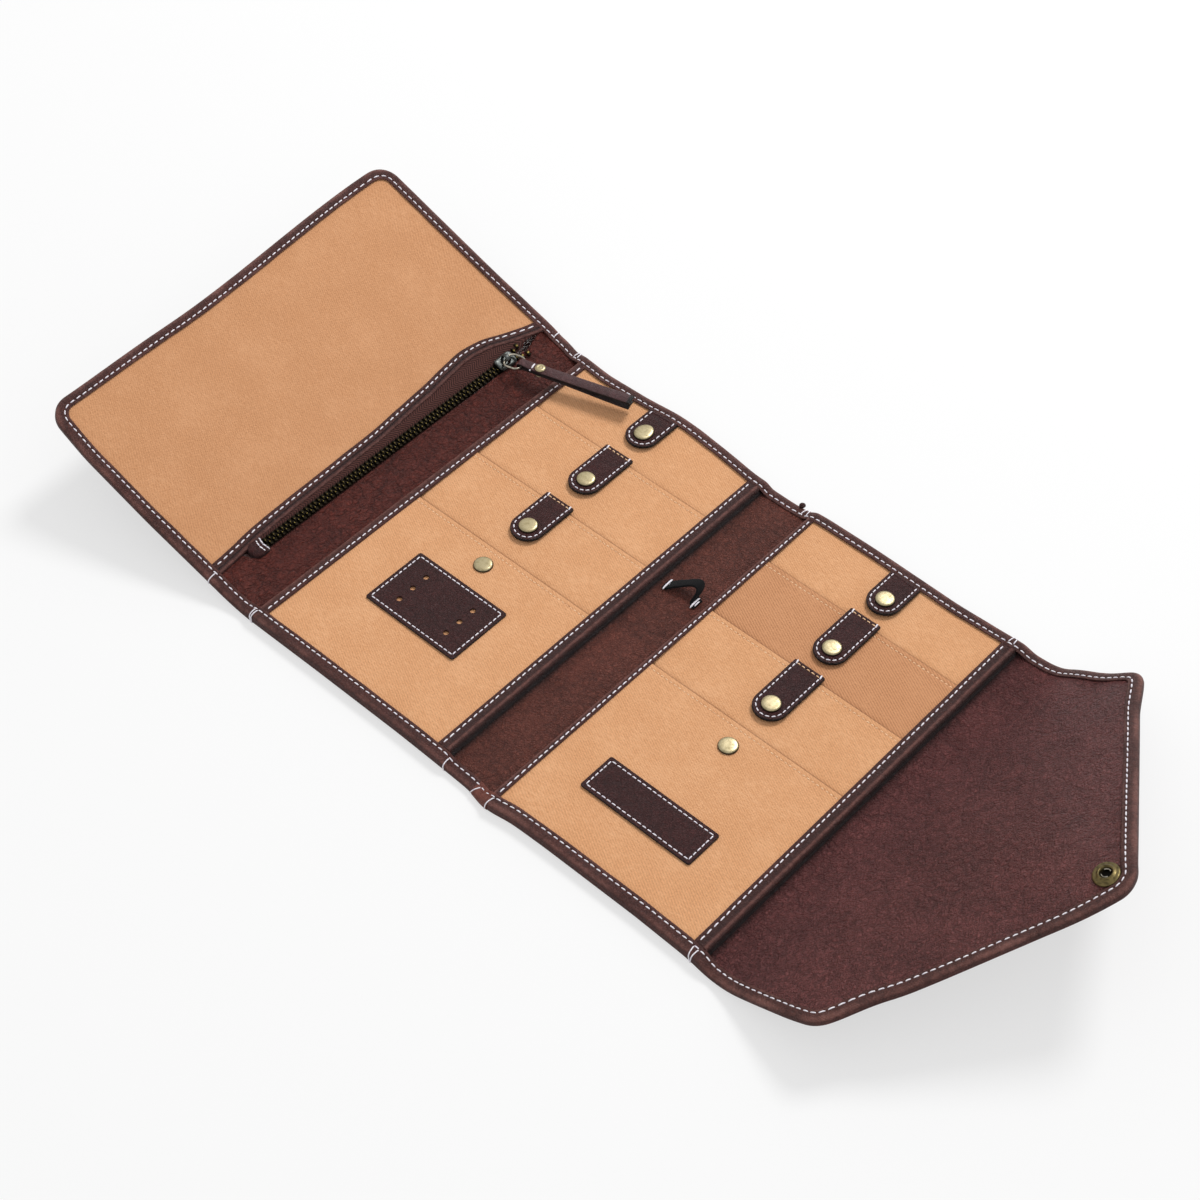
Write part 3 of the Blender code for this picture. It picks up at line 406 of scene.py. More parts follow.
handMade = {
    # how far the sewn edges wander outwards (place along, millimetres) on the two long sides
    "near": [(-334, 0.4), (-300, 2.8), (-250, 2.6), (-200, 1.2), (-120, 0.8), (-60, 1.0), (-34, 1.6),
             (-8, 2.4), (0, 5.0), (8, 4.8), (18, 2.8), (40, 2.2), (100, 2.1), (134, 3.0), (145, 4.4),
             (160, 5.4), (176, 5.8), (200, 5.6), (226, 3.2), (300, 0.0)],
    "far": [(-334, 6.0), (-250, 5.6), (-205, 6.4), (-186, 6.2), (-176, 4.0), (-150, 1.4), (-120, 2.4),
            (-100, 4.4), (-85, 3.8), (-60, 1.0), (-39, -2.0), (-10, -2.4), (10, -0.8), (45, -0.7),
            (100, -2.2), (135, -1.0), (160, 0.6), (180, 0.0), (200, 1.0), (214, 3.4), (300, 0.0)],
    "farCorner": 8.6,       # the zip panel's two outer corners are drawn along the case
    "nearCorner": -1.2,
    "sag": 6.0,             # the flap's near side hangs, but stays on the table with the gusset laid flat
    "tipSag": 2.6,          # its tip hangs a little less
    "hollow": 2.8,          # its far side stays low beside the gusset
    "corner": 2.6,          # and rises at the corner
    "slant": 3.0,           # its near slanting side stands out along the case
}
nearLine, farLine = eased(handMade["near"]), eased(handMade["far"])


def worn(along, across, above):
    # the small unevenness of a hand-sewn case: wandering edges, drawn corners and a sagging flap
    near, far = np.interp(along, *nearLine), np.interp(along, *farLine)
    weight = smooth((abs(across) - 102) / 20)
    end = smooth((-208 - along) / 120)
    pulled = end * (handMade["farCorner"] * smooth((across + 40) / 160)
                    + handMade["nearCorner"] * smooth((-across - 50) / 70))
    sag = handMade["sag"] * smooth((along - gussetFold - 8) / 85) * smooth((14 - across) / 50)
    sag = sag * (1 - 0.35 * smooth((-108 - across) / 18) * smooth((228 - along) / 20))
    sag = sag + handMade["tipSag"] * smooth((along - flapFold - 60) / 50) * smooth((across + 40) / 40)
    sag = sag + handMade["hollow"] * np.exp(-((along - 163) / 12) ** 2) * smooth((across + 20) / 130)
    sag = sag - handMade["corner"] * smooth((along - 190) / 22) * smooth((across - 60) / 65)
    pushed = handMade["slant"] * smooth((along - 212) / 22) * smooth((16 - across) / 44) * smooth(
        (118 + across) / 26)
    return along - pulled + pushed, across + np.where(across > 0, far, -near) * weight, above - sag


def onCase(place):
    # (along, across, above) to world: straight stretches joined by quadratic curves whose middle
    # handle is the fold's axis; above is measured square to the line
    along, across, above = worn(*np.moveaxis(np.asarray(place, float), -1, 0))
    stretch = np.searchsorted(foldAt, along)
    anchor = np.maximum(stretch - 1, 0)
    way = stretchWay[stretch]
    line = foldXz[anchor] + way * (along - foldAt[anchor])[..., None]
    for fold, reach in enumerate(caseLine["bend"]):
        share = (along - foldAt[fold] + reach) / (2 * reach)
        near = (share > 0) & (share < 1)
        u = share[near][..., None]
        low, high = foldXz[fold] - stretchWay[fold] * reach, foldXz[fold] + stretchWay[fold + 1] * reach
        line[near] = (1 - u) ** 2 * low + 2 * u * (1 - u) * foldXz[fold] + u ** 2 * high
        way[near] = (1 - u) * stretchWay[fold] + u * stretchWay[fold + 1]
    way = way / np.linalg.norm(way, axis=-1, keepdims=True)
    return np.stack([line[..., 0] - way[..., 1] * above, across, line[..., 1] + way[..., 0] * above], -1)


def boxOf(node):
    # a node's lowest and highest corners as (along, across, above); true on the flat stretches
    low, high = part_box(node)
    return np.array(low) * 1000 - flatOrigin, np.array(high) * 1000 - flatOrigin


# shapes

def gridQuads(rows, columns, aroundRows=False, aroundColumns=True):
    # the quads between neighbouring rows and columns of points
    r = np.arange(rows if aroundRows else rows - 1)[:, None]
    c = np.arange(columns if aroundColumns else columns - 1)[None, :]
    nextRow, nextColumn = (r + 1) % rows, (c + 1) % columns
    quads = np.stack([r * columns + c, r * columns + nextColumn, nextRow * columns + nextColumn,
                      nextRow * columns + c], -1)
    return quads.reshape(-1, 4)


def skin(rings, closed=False, **own):
    # rings (rows, points, 3) of one closed section carried along a path; both ends get a face
    rows, count = rings.shape[:2]
    faces = [gridQuads(rows, count, closed)]
    if not closed:
        faces += [np.arange(count)[None, ::-1], (rows - 1) * count + np.arange(count)[None, :]]
    shape = {"points": rings.reshape(-1, 3), "faces": faces}
    for key, values in own.items():
        shape[key] = np.broadcast_to(values, rings.shape[:2] + np.shape(values)[2:]).reshape(
            (rows * count,) + np.shape(values)[2:])
    return shape


def outwards(shape):
    # turns the faces over where the closed shape's volume comes out negative
    points, volume = shape["points"], 0.0
    for block in shape["faces"]:
        for k in range(1, block.shape[1] - 1):
            cross = np.cross(points[block[:, k]], points[block[:, k + 1]])
            volume += np.sum(points[block[:, 0]] * cross)
    return shape["faces"] if volume > 0 else [block[:, ::-1] for block in shape["faces"]]


def makePiece(name, shapes, finish, sharp=40):
    # joins closed shapes into one mesh object; rim, paint and flat become its own attributes
    points = np.concatenate([shape["points"] for shape in shapes])
    sizes = [len(shape["points"]) for shape in shapes]
    starts = np.concatenate([[0], np.cumsum(sizes)])
    blocks = [block + start for shape, start in zip(shapes, starts) for block in outwards(shape)]
    corners = np.concatenate([block.ravel() for block in blocks]).astype(np.int32)
    counts = np.concatenate([np.full(len(block), block.shape[1]) for block in blocks])
    mesh = bpy.data.meshes.new(name)
    mesh.vertices.add(len(points))
    mesh.vertices.foreach_set("co", (points * 0.001).astype(np.float32).ravel())
    mesh.loops.add(len(corners))
    mesh.loops.foreach_set("vertex_index", corners)
    mesh.polygons.add(len(counts))
    mesh.polygons.foreach_set("loop_start", (np.cumsum(counts) - counts).astype(np.int32))
    mesh.update(calc_edges=True)
    for key in ("rim", "paint", "shade"):
        if any(key in shape for shape in shapes):
            values = [shape.get(key, np.zeros(size)) for shape, size in zip(shapes, sizes)]
            mesh.attributes.new(key, "FLOAT", "POINT").data.foreach_set(
                "value", np.concatenate(values).astype(np.float32))
    if any("flat" in shape for shape in shapes):
        values = [shape.get("flat", shape["points"][:, :2] * 0.01) for shape in shapes]
        layer = mesh.uv_layers.new(name="flat")
        layer.data.foreach_set("uv", np.concatenate(values)[corners].astype(np.float32).ravel())
    mesh.materials.append(finishes[finish])
    mesh.shade_smooth()
    mesh.set_sharp_from_angle(angle=math.radians(sharp))
    piece = bpy.data.objects.new(name, mesh)
    bpy.context.scene.collection.objects.link(piece)
    return piece


def acrossFold(piece, fold):
    # bakes the piece's placing into its mesh; the fold's span is worked out but not used
    reach = caseLine["bend"][fold]
    low, high = foldXz[fold] - stretchWay[fold] * reach, foldXz[fold] + stretchWay[fold + 1] * reach
    caseLine["bodies"][fold + 1]
    low[0] / 1000
    low[1] / 1000
    high[0] / 1000
    high[1] / 1000
    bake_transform(piece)


def settle(piece, slot, replaced=(), body=None, fold=None):
    # parents a finished piece to the body it rides on, or bakes it in place when it lies across a fold, and
    # hides the CAD nodes it stands for
    if fold is None:
        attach(piece, body)
    else:
        acrossFold(piece, fold)
    if replaced:
        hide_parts(*replaced)
    return piece


def lengths(path):
    # how far along a path each of its points lies
    return np.concatenate([[0], np.cumsum(np.linalg.norm(np.diff(path, axis=0), axis=-1))])


def atLength(path, where):
    # points of a path at given lengths along it
    run = lengths(path)
    return np.stack([np.interp(where, run, path[:, k]) for k in range(path.shape[1])], -1)


def wayAlong(path):
    # the direction of a path at each of its points
    way = np.gradient(path, axis=0)
    return way / np.linalg.norm(way, axis=1, keepdims=True)


def roundAngles(count):
    # equal steps round a circle
    return np.linspace(0, 2 * math.pi, count, endpoint=False)


def blunt(wave, power):
    # a sine or cosine pressed towards a square wave, for flat sections with rounded edges
    return np.sign(wave) * abs(wave) ** power


def perRing(values, count):
    # one value for each ring of a shape, the same all round it
    return np.array(values)[:, None] * np.ones(count)


def perPoint(values, count):
    # one value for each point of a section, the same in every ring
    return np.array(values)[None, :] * np.ones((count, 1))


def outline(corners, inset=0.0, steps=12):
    # a closed convex outline: every (x, y, radius) corner becomes an arc that meets both its sides,
    # and an inset draws all sides in while the arcs keep their centres
    xy = np.array([corner[:2] for corner in corners], float)
    points = []
    for i, (_, _, radius) in enumerate(corners):
        before, after = xy[i - 1] - xy[i], xy[(i + 1) % len(xy)] - xy[i]
        before, after = before / np.linalg.norm(before), after / np.linalg.norm(after)
        half = math.acos(float(np.clip(before @ after, -1, 1))) / 2
        middle = (before + after) / np.linalg.norm(before + after)
        small = max(radius - inset, 0.05)
        corner = xy[i] + middle * inset / math.sin(half)
        centre = corner + middle * small / math.sin(half)
        first, last = (corner - centre + side * small / math.tan(half) for side in (before, after))
        start = math.atan2(first[1], first[0])
        sweep = (math.atan2(last[1], last[0]) - start + math.pi) % (2 * math.pi) - math.pi
        angle = start + sweep * np.linspace(0, 1, steps + 1)
        points.append(centre + small * np.stack([np.cos(angle), np.sin(angle)], -1))
    return np.concatenate(points)


def stackedPlate(corners, layers, steps=12, mapping=onCase, **own):
    # a flat piece from rings of its outline, each layer an (inset, height), closed by end faces
    rings = []
    for inset, height in layers:
        ring = outline(corners, inset, steps)
        rings.append(np.column_stack([ring, np.full(len(ring), height)]))
    return skin(mapping(np.array(rings)), **own)


def sheetOf(along, across, upper, lower, **own):
    # a sheet from the heights of its two faces over a grid, with its own flat coordinates
    faces = [np.stack(np.broadcast_arrays(along, across, height), -1) for height in (upper, lower)]
    rings = np.concatenate([faces[0], faces[1][:, ::-1]], axis=1)
    return skin(onCase(rings), flat=rings[..., :2] * 0.01, **own)


def turned(centre, profile, mapping=onCase, count=36, **own):
    # a turned piece: (radius, height) pairs carried round a centre given as (along, across)
    profile = np.array(profile, float)
    angle = roundAngles(count)
    rings = np.empty((len(profile), count, 3))
    rings[..., 0] = centre[0] + profile[:, :1] * np.cos(angle)
    rings[..., 1] = centre[1] + profile[:, :1] * np.sin(angle)
    rings[..., 2] = profile[:, 1:]
    return skin(mapping(rings), **own)


def stitches(path, pitch, length=3.05, thick=0.38, seed=1, mapping=onCase, slant=0.05, ends=0.5):
    # a row of stitches along a path of (along, across, above): each is a short rounded bar of six
    # sides whose ends dip into the leather; ends is the share of a pitch left free at each end
    total = lengths(path)[-1]
    count = max(int(round(total / pitch - 2 * ends + 1)), 1)
    step = total / (count - 1 + 2 * ends)
    random = np.random.default_rng(seed)
    centres = (ends + np.arange(count)) * step + random.normal(0, 0.05, count)
    span = np.array([-1, -0.82, -0.35, 0.35, 0.82, 1]) * 0.5
    girth = np.array([0.35, 0.85, 1, 1, 0.85, 0.35])
    dip = np.array([-1.35, -0.55, 0, 0, -0.55, -1.35])
    where = centres[:, None] + span * (length * random.uniform(0.93, 1.05, count))[:, None]
    middle = atLength(path, where.ravel()).reshape(where.shape + (3,))
    ahead = atLength(path, where.ravel() + 0.2).reshape(middle.shape) - atLength(
        path, where.ravel() - 0.2).reshape(middle.shape)
    ahead /= np.linalg.norm(ahead[..., :2], axis=-1, keepdims=True)
    side = np.stack([-ahead[..., 1], ahead[..., 0], np.zeros(where.shape)], -1)
    angle = roundAngles(6)
    wander = side * (span * length * (slant + random.normal(0, 0.03, count))[:, None])[..., None]
    rings = (middle + wander)[:, :, None, :] + (side * thick * girth[:, None])[:, :, None, :] * np.cos(
        angle)[:, None]
    rings[..., 2] += (thick * girth[:, None] * np.sin(angle) * 0.8 + dip[:, None] * thick)
    points = mapping(rings)
    block = gridQuads(6, 6)
    offset = (np.arange(count) * 36)[:, None, None]
    caps = np.stack([np.arange(6)[::-1], 30 + np.arange(6)])
    return {"points": points.reshape(-1, 3), "faces": [(block + offset).reshape(-1, 4),
                                                      (caps + offset).reshape(-1, 6)]}


# outline of the case at its two ends: (along, across, radius) of every corner

edge = caseLine["halfWidth"]
caseEdges = {
    "zip": [(None, edge, 0), (zipFold - 140.7, edge, 13), (zipFold - 140.7, -edge, 13), (None, -edge, 0)],
    "flap": [(None, -edge, 0), (flapFold + 26.5, -edge, 12), (flapFold + 112.26, 0, 16),
             (flapFold + 26.5, edge, 12), (None, edge, 0)],
}


def edgePath(end, near, inset, steps=16):
    # the case's edge round one end, from near on one side to near on the other
    out = 1 if end == "zip" else -1
    corners = [(near + out * inset if x is None else x, y, r) for x, y, r in caseEdges[end]]
    return outline(corners, inset, steps)[steps:-steps]


def halfWidth(end, inset):
    # half the width of an end panel as a function of the place along the case
    near = zipFold + 30 if end == "zip" else flapFold - 30
    path = edgePath(end, near, inset)
    path = path[path[:, 1] >= -1e-9]
    path = path[np.argsort(path[:, 0], kind="stable")]
    far = path[0, 0] if end == "zip" else path[-1, 0]
    return far, lambda along: np.interp(along, path[:, 0], path[:, 1])


def layer(along, half, low, high, columns=48, wave=0.0, seed=3, crease=0.0, flare=0.0, bow=None):
    # a layer of the case: for each place along it, a loop over its upper face and back below;
    # a flare draws its first edge back beyond both ends of the zip's chain, a bow bends its last one
    share = np.sin(np.linspace(-0.5, 0.5, columns) * math.pi)
    widths = half(along)[:, None]
    across = np.concatenate([share, share[::-1]]) * widths
    place = np.broadcast_to(along[:, None], across.shape)
    opened = np.maximum(smooth((-across - 101) / 7), smooth((across - 101) / 12))
    place = place - flare * opened * (1 - smooth((along - along[0]) / 12))[:, None]
    if bow:
        place = place + bow(across) * smooth((along - along[-1] + 30) / 30)[:, None]
    upper = np.arange(2 * columns) < columns
    lift = (wave * ripple(place, across, seed) + crease * wrinkles(place, across, seed + 5)) * smooth(
        (widths - abs(across)) / 12)
    above = np.where(upper, np.asarray(high)[..., None] * np.ones(across.shape),
                     np.asarray(low)[..., None] * np.ones(across.shape)) + lift
    flat = np.stack([place, across], -1) * 0.01
    return skin(onCase(np.stack([place, across, above], -1)), flat=flat)


def placesFrom(low, high, spacing, dense=()):
    # places from low to high, with closer ones round each dense place
    places = [np.linspace(low, high, max(int((high - low) / spacing), 2) + 1)]
    places += [spot + np.arange(-8, 8.1, 0.8) for spot in dense]
    places = np.unique(np.round(np.clip(np.concatenate(places), low, high), 3))
    places[0], places[-1] = low, high
    return places


def valley(along):
    # soft hollows where the leather folds
    return sum(-depth * np.exp(-((along - foldAt[fold]) / width) ** 2)
               for fold, depth, width in ((0, 0.12, 3), (1, 0.10, 4), (2, 0.3, 2), (3, 0.3, 2), (4, 0.15, 5),
                                          (5, 0.10, 6)))


def wrinkles(place, across, seed):
    # soft creases that run mostly across the case: narrow valleys of two slow waves
    first = ripple(place * 2.6, across * 0.8, seed, 26)
    second = ripple(place * 1.6, across * 1.3, seed + 1, 15)
    return -np.exp(-(first / 0.22) ** 2) * 0.6 - np.exp(-(second / 0.25) ** 2) * 0.4 + 0.4


middles = [(zipFold + spineFold) / 2, (spineFold + panelAFold) / 2, (panelAFold + panelBFold) / 2,
           (panelBFold + gussetFold) / 2, (gussetFold + flapFold) / 2]
zipFar, zipHalf = halfWidth("zip", caseLine["setIn"])
flapFar, flapHalf = halfWidth("flap", caseLine["setIn"])


def sideHalf(along):
    # half the leather's width between the two ends of the case
    return np.full(np.shape(along), caseLine["halfWidth"] - caseLine["setIn"])


def tipSteps(far, near, spacing, dense):
    # as placesFrom, closer together towards a rounded end
    way = np.sign(near - far)
    close = far + way * np.array([0.0, 0.05, 0.2, 0.5, 1.0, 1.8, 3.0, 4.5, 6.5, 9.0, 12.0, 15.0])
    low, high = sorted((far + way * 17, near))
    return np.unique(np.concatenate([close, placesFrom(low, high, spacing, dense)]))


def nearTip(half):
    # keeps a narrow end face at the very tip
    return lambda along: np.maximum(half(along), 0.6)


# outer leather: six pieces, each of which bends across one fold

outerLeather = {"low": -1.75, "high": -0.02, "spacing": 4.0}
outerSpans = [(zipFar, middles[0]), (middles[0], middles[1]), (middles[1], middles[2]),
              (middles[2], middles[3]), (middles[3], middles[4]), (middles[4], flapFar)]
outerHalves = [zipHalf, sideHalf, sideHalf, sideHalf, sideHalf, nearTip(flapHalf)]
bodies = caseLine["bodies"]
for fold, ((low, high), half) in enumerate(zip(outerSpans, outerHalves)):
    if fold == 0:
        along = tipSteps(low, high, outerLeather["spacing"], [foldAt[fold]])
    elif fold == 5:
        along = tipSteps(high, low, outerLeather["spacing"], [foldAt[fold]])
    else:
        along = placesFrom(low, high, outerLeather["spacing"], [foldAt[fold]])
    shape = layer(along, half, outerLeather["low"], outerLeather["high"] + 0 * along)
    piece = makePiece(f"{caseLine['joints'][fold]}_outer_skin", [shape], "brownLeather")
    settle(piece, "flap_leather" if fold == 5 else "brown_leather",
           [f"{bodies[fold]}_outer_leather", f"{bodies[fold + 1]}_outer_leather"], fold=fold)
print("outer leather made")


# inner leather over the spines, the gusset and the flap

innerLeather = {"low": 0.25, "high": 1.05, "spacing": 2.0}
innerRelief = [(0.14, 0.22, 8.2), (0.14, 0.22, 0), (0.14, 0.12, 0), (0.14, 0.12, 0), (0.16, 0.10, 0),
               (0.55, 0.22, 0)]
innerSpans = [
    (zipFold - 2.4, middles[0], sideHalf), (middles[0], spineFold + 12.0, sideHalf),
    (panelAFold - 22.0, middles[2], sideHalf), (middles[2], panelBFold + 5.5, sideHalf),
    (gussetFold - 38.0, middles[4], sideHalf), (middles[4], flapFar, nearTip(flapHalf))]
innerNodes = [["spine_1_bound_lining"], ["spine_1_bound_lining"], ["spine_2_bound_lining"],
              ["spine_2_bound_lining"], ["gusset_bound_lining"], ["gusset_bound_lining", "flap_lining"]]
for fold, (low, high, half) in enumerate(innerSpans):
    if fold == 5:
        along = tipSteps(high, low, innerLeather["spacing"], [foldAt[fold]])
    else:
        along = placesFrom(low, high, innerLeather["spacing"], [foldAt[fold]])
    rise = 0.85 * (1 - smooth((along - zipFold + 2.4) / 4)) if fold == 0 else 0 * along
    top = innerLeather["high"] + rise + valley(along)
    wave, crease, flare = innerRelief[fold]
    if fold == 5:        # the gusset's relief grows into the flap's without a step
        grown = smooth((along - low) / 25)[:, None]
        wave, crease = (before + (own - before) * grown
                        for before, own in zip(innerRelief[4][:2], (wave, crease)))
    shape = layer(along, half, innerLeather["low"] + rise, top, 150, wave, 11, crease, flare)
    # painted shadow on the inner leather, under each mouth roll and fading out just beyond its edge
    shape["paint"] = np.repeat(sum(0.8 * np.exp(-np.maximum(along - edge, 0) / 1.6) * (along > edge - 12)
                                   for edge in (panelAFold - 1.5, gussetFold - 14.2)), 300)
    finish = "liningLeather" if fold < 2 else "spineLeather" if fold < 4 else "flapLeather"
    piece = makePiece(f"{caseLine['joints'][fold]}_inner_skin", [shape], finish)
    settle(piece, "flap_leather" if fold == 5 else "brown_leather", innerNodes[fold], fold=fold)
print("inner leather made")


# binding folded over the edges, with its row of white stitches

edgeBinding = {
    # (from the outer edge inwards, whether measured from the top or the bottom, height from it)
    "profile": [(7.2, 1, -0.75), (7.3, 1, -0.3), (6.95, 1, -0.03), (6.1, 1, 0.06), (5.55, 1, -0.05),
                (5.2, 1, -0.26), (4.85, 1, -0.05), (4.2, 1, 0.12), (3.0, 1, 0.14), (1.8, 1, 0.0),
                (0.85, 1, -0.38), (0.25, 1, -0.95), (0.0, 1, -1.6), (0.0, 0, 1.3), (0.2, 0, 0.7),
                (0.8, 0, 0.2), (1.8, 0, 0.0), (4.7, 0, 0.0), (5.2, 0, 0.14), (5.7, 0, 0.0), (6.9, 0, 0.02),
                (7.2, 0, 0.3), (7.0, 0, 0.45), (1.3, 0, 0.45), (1.3, 1, -1.05), (6.9, 1, -1.0)],
    # rim lightens the turned outer edge and the ridge on the inner side: partly real wear, partly painted
    # highlight
    "rim": [0, 0.2, 0.7, 0.4, 0, 0, 0, 0.25, 0.4, 0.8, 1, 0.8, 0.4, 0.4, 0.8, 1, 0.6] + [0] * 9,
    "stitchAt": 5.2, "pitch": 4.0, "bottom": -2.2, "spacing": 1.4,
}
topLevels = [(zipFold - 6, zipFold + 2, -0.8), (spineFold - 3, spineFold + 8, 2.65),
             (panelAFold - 5, panelAFold + 2, -2.65), (panelBFold - 2, panelBFold + 5, 2.65),
             (gussetFold - 17, gussetFold - 6, -2.65), (flapFold + 1, flapFold + 3, 0.2)]


def topOf(along):
    # height of the binding's upper face: 2.7 on the zip panel, 4.55 on the needle panels, 1.9 on
    # the spines, 2.1 on the flap, with a smooth step beside each fold
    return 2.7 + sum(jump * smooth((along - low) / (high - low)) for low, high, jump in topLevels)


def bindingRails(fold):
    # outer and inner rails of the binding round a fold's stretch, as matching points
    width = caseLine["bindingWidth"]
    if fold == 0:
        return [(edgePath("zip", middles[0], 0), edgePath("zip", middles[0], width))]
    if fold == 5:
        return [(edgePath("flap", middles[4], 0), edgePath("flap", middles[4], width))]
    rails = []
    for side in (-1, 1):
        along = np.array([middles[fold - 1], middles[fold]])
        rails.append(tuple(np.stack([along, side * (caseLine["halfWidth"] - inset) * np.ones(2)], -1)
                           for inset in (0, width)))
    return rails


def bindingShapes(outer, inner, seed, settings):
    # the profile carried along the rails, and the stitch row in its groove
    run = lengths(outer)
    count = max(int(run[-1] / settings["spacing"]), 4)
    where = np.linspace(0, run[-1], count + 1)
    outer, inner = (np.stack([np.interp(where, run, rail[:, k]) for k in (0, 1)], -1)
                    for rail in (outer, inner))
    profile = np.array(settings["profile"])
    share = profile[:, 0] / caseLine["bindingWidth"]
    waver = 1 + 0.012 * ripple(where, 0 * where, seed, 25)[:, None]
    place = outer[:, None] + (inner - outer)[:, None] * (share * waver)[..., None]
    puff = 0.05 * ripple(where, 0 * where, seed + 1, 14)[:, None]
    above = np.where(profile[:, 1] > 0, topOf(place[..., 0]) + puff, settings["bottom"]) + profile[:, 2]
    rim = np.array(settings["rim"])[None, :] * (0.8 + 0.35 * ripple(where, 0 * where, seed + 2, 30)[:, None])
    shape = skin(onCase(np.concatenate([place, above[..., None]], -1)), rim=rim)
    sewn = outer + (inner - outer) * (settings["stitchAt"] / caseLine["bindingWidth"])
    row = np.column_stack([sewn, topOf(sewn[:, 0]) - 0.02])
    under = np.column_stack([sewn, np.full(len(sewn), settings["bottom"] - 0.02)])
    return shape, row, under


def flipped(mapping):
    # the same mapping with heights turned over about the given row, for stitches on an underside
    def turnedOver(place):
        place = np.array(place, float)
        place[..., 2] = 2 * (edgeBinding["bottom"] - 0.02) - place[..., 2]
        return mapping(place)
    return turnedOver


bindingNodes = [["zip_panel_edge_binding", "spine_1_bound_lining"],
                ["spine_1_bound_lining", "panel_a_edge_binding"],
                ["panel_a_edge_binding", "spine_2_bound_lining"],
                ["spine_2_bound_lining", "panel_b_edge_binding"],
                ["panel_b_edge_binding", "gusset_bound_lining"], ["gusset_bound_lining", "flap_edge_binding"]]
for fold in range(6):
    shapes, rows = [], []
    for number, (outer, inner) in enumerate(bindingRails(fold)):
        shape, row, under = bindingShapes(outer, inner, 20 + fold * 7 + number * 3, edgeBinding)
        shapes.append(shape)
        seed = fold * 5 + number
        rows.append(stitches(row, edgeBinding["pitch"], seed=seed))
        rows.append(stitches(under, edgeBinding["pitch"], seed=seed, mapping=flipped(onCase)))
    name = caseLine["joints"][fold]
    settle(makePiece(f"{name}_binding", shapes, "brownLeather"), "brown_leather", bindingNodes[fold],
           fold=fold)
    settle(makePiece(f"{name}_binding_stitches", rows, "whiteThread"), "brown_leather", fold=fold)
print("edge binding made")


# joints of the binding: overcast threads, a redder patch of binding and a knot

bindingJoints = {
    # (fold, side, place from the fold, slant) of every overcast thread
    "threads": [(0, -1, -9.0, 1.2), (0, 1, -1.0, -1.0), (1, -1, 6.0, 1.2), (1, -1, 7.4, -1.0),
                (1, 1, 0.8, 1.8), (1, 1, 2.6, -1.4), (2, -1, -1.0, 1.0), (3, -1, -6.6, -7.0),
                (3, -1, 4.6, -4.0), (3, 1, -2.6, 2.0), (3, 1, -0.4, -1.8), (4, -1, -21.6, 2.6),
                (4, -1, -19.6, -1.6), (4, 1, -21.4, 2.4), (4, 1, -19.4, -1.8)],
    "thick": 0.34, "sleeve": (-7.4, 4.6), "sleeveThick": 0.26,
    # (radius, height) of the knot
    "knot": [(0.2, 3.9), (1.0, 3.75), (1.7, 3.1), (1.8, 2.4), (1.3, 1.6), (0.2, 1.3)],
}


def bindingLine(side, along, first=5):
    # the outside of the binding's section as (across, above), from its top round to its underside,
    # with the directions that point out of it
    profile = np.array(edgeBinding["profile"])[first:19]
    above = np.where(profile[:, 1] > 0, topOf(along), edgeBinding["bottom"]) + profile[:, 2]
    line = np.column_stack([side * (caseLine["halfWidth"] - profile[:, 0]), above])
    line = atLength(line, np.linspace(0, lengths(line)[-1], 40))
    way = wayAlong(line)
    return line, side * np.stack([-way[:, 1], way[:, 0]], -1)


def overcast(side, along, slant, thick):
    # a thread laid round the edge, whose ends dip into the leather
    line, out = bindingLine(side, along)
    share = np.linspace(0, 1, 40)
    line = line + out * (0.2 - 0.9 * (1 - smooth(np.minimum(share, 1 - share) / 0.08)))[:, None]
    angle = roundAngles(8)
    rings = np.empty((40, 8, 3))
    rings[..., 0] = (along + slant * (share - 0.3))[:, None] + thick * np.cos(angle)
    rings[..., 1:] = line[:, None] + out[:, None] * (thick * np.sin(angle))[:, None]
    return skin(onCase(rings))


def makeJoints(settings):
    # each fold's threads, then the sleeve that joins two bindings and the knot at the far side
    for fold in range(5):
        threads = [overcast(side, foldAt[fold] + shift, slant, settings["thick"])
                   for where, side, shift, slant in settings["threads"] if where == fold]
        settle(makePiece(f"{caseLine['joints'][fold]}_overcast", threads, "whiteThread"), "brown_leather",
               fold=fold)
    low, high = settings["sleeve"]
    rings = []
    for along in np.linspace(panelBFold + low, panelBFold + high, 24):
        line, out = bindingLine(-1, along, 1)
        ring = np.concatenate([line + out * settings["sleeveThick"], (line - out * 0.1)[::-1]])
        rings.append(np.column_stack([np.full(80, along), ring]))
    sleeve = skin(onCase(np.array(rings)), rim=0.5 * np.ones((24, 80)))
    settle(makePiece("spine_2_red_binding", [sleeve], "redLeather"), "brown_leather", fold=3)
    knotShape = turned((panelBFold - 6.0, caseLine["halfWidth"]), settings["knot"], count=20)
    settle(makePiece("spine_2_knot", [knotShape], "patchLeather"), "brown_leather", fold=3)


makeJoints(bindingJoints)
print("binding joints made")


# canvas pocket rows

canvasRows = {"face": 3.3, "drop": 1.15, "lastDrop": 0.3, "thick": 0.6, "hem": 7.0, "stitchAt": 3.0,
              "wave": 0.13, "pitch": 2.9}


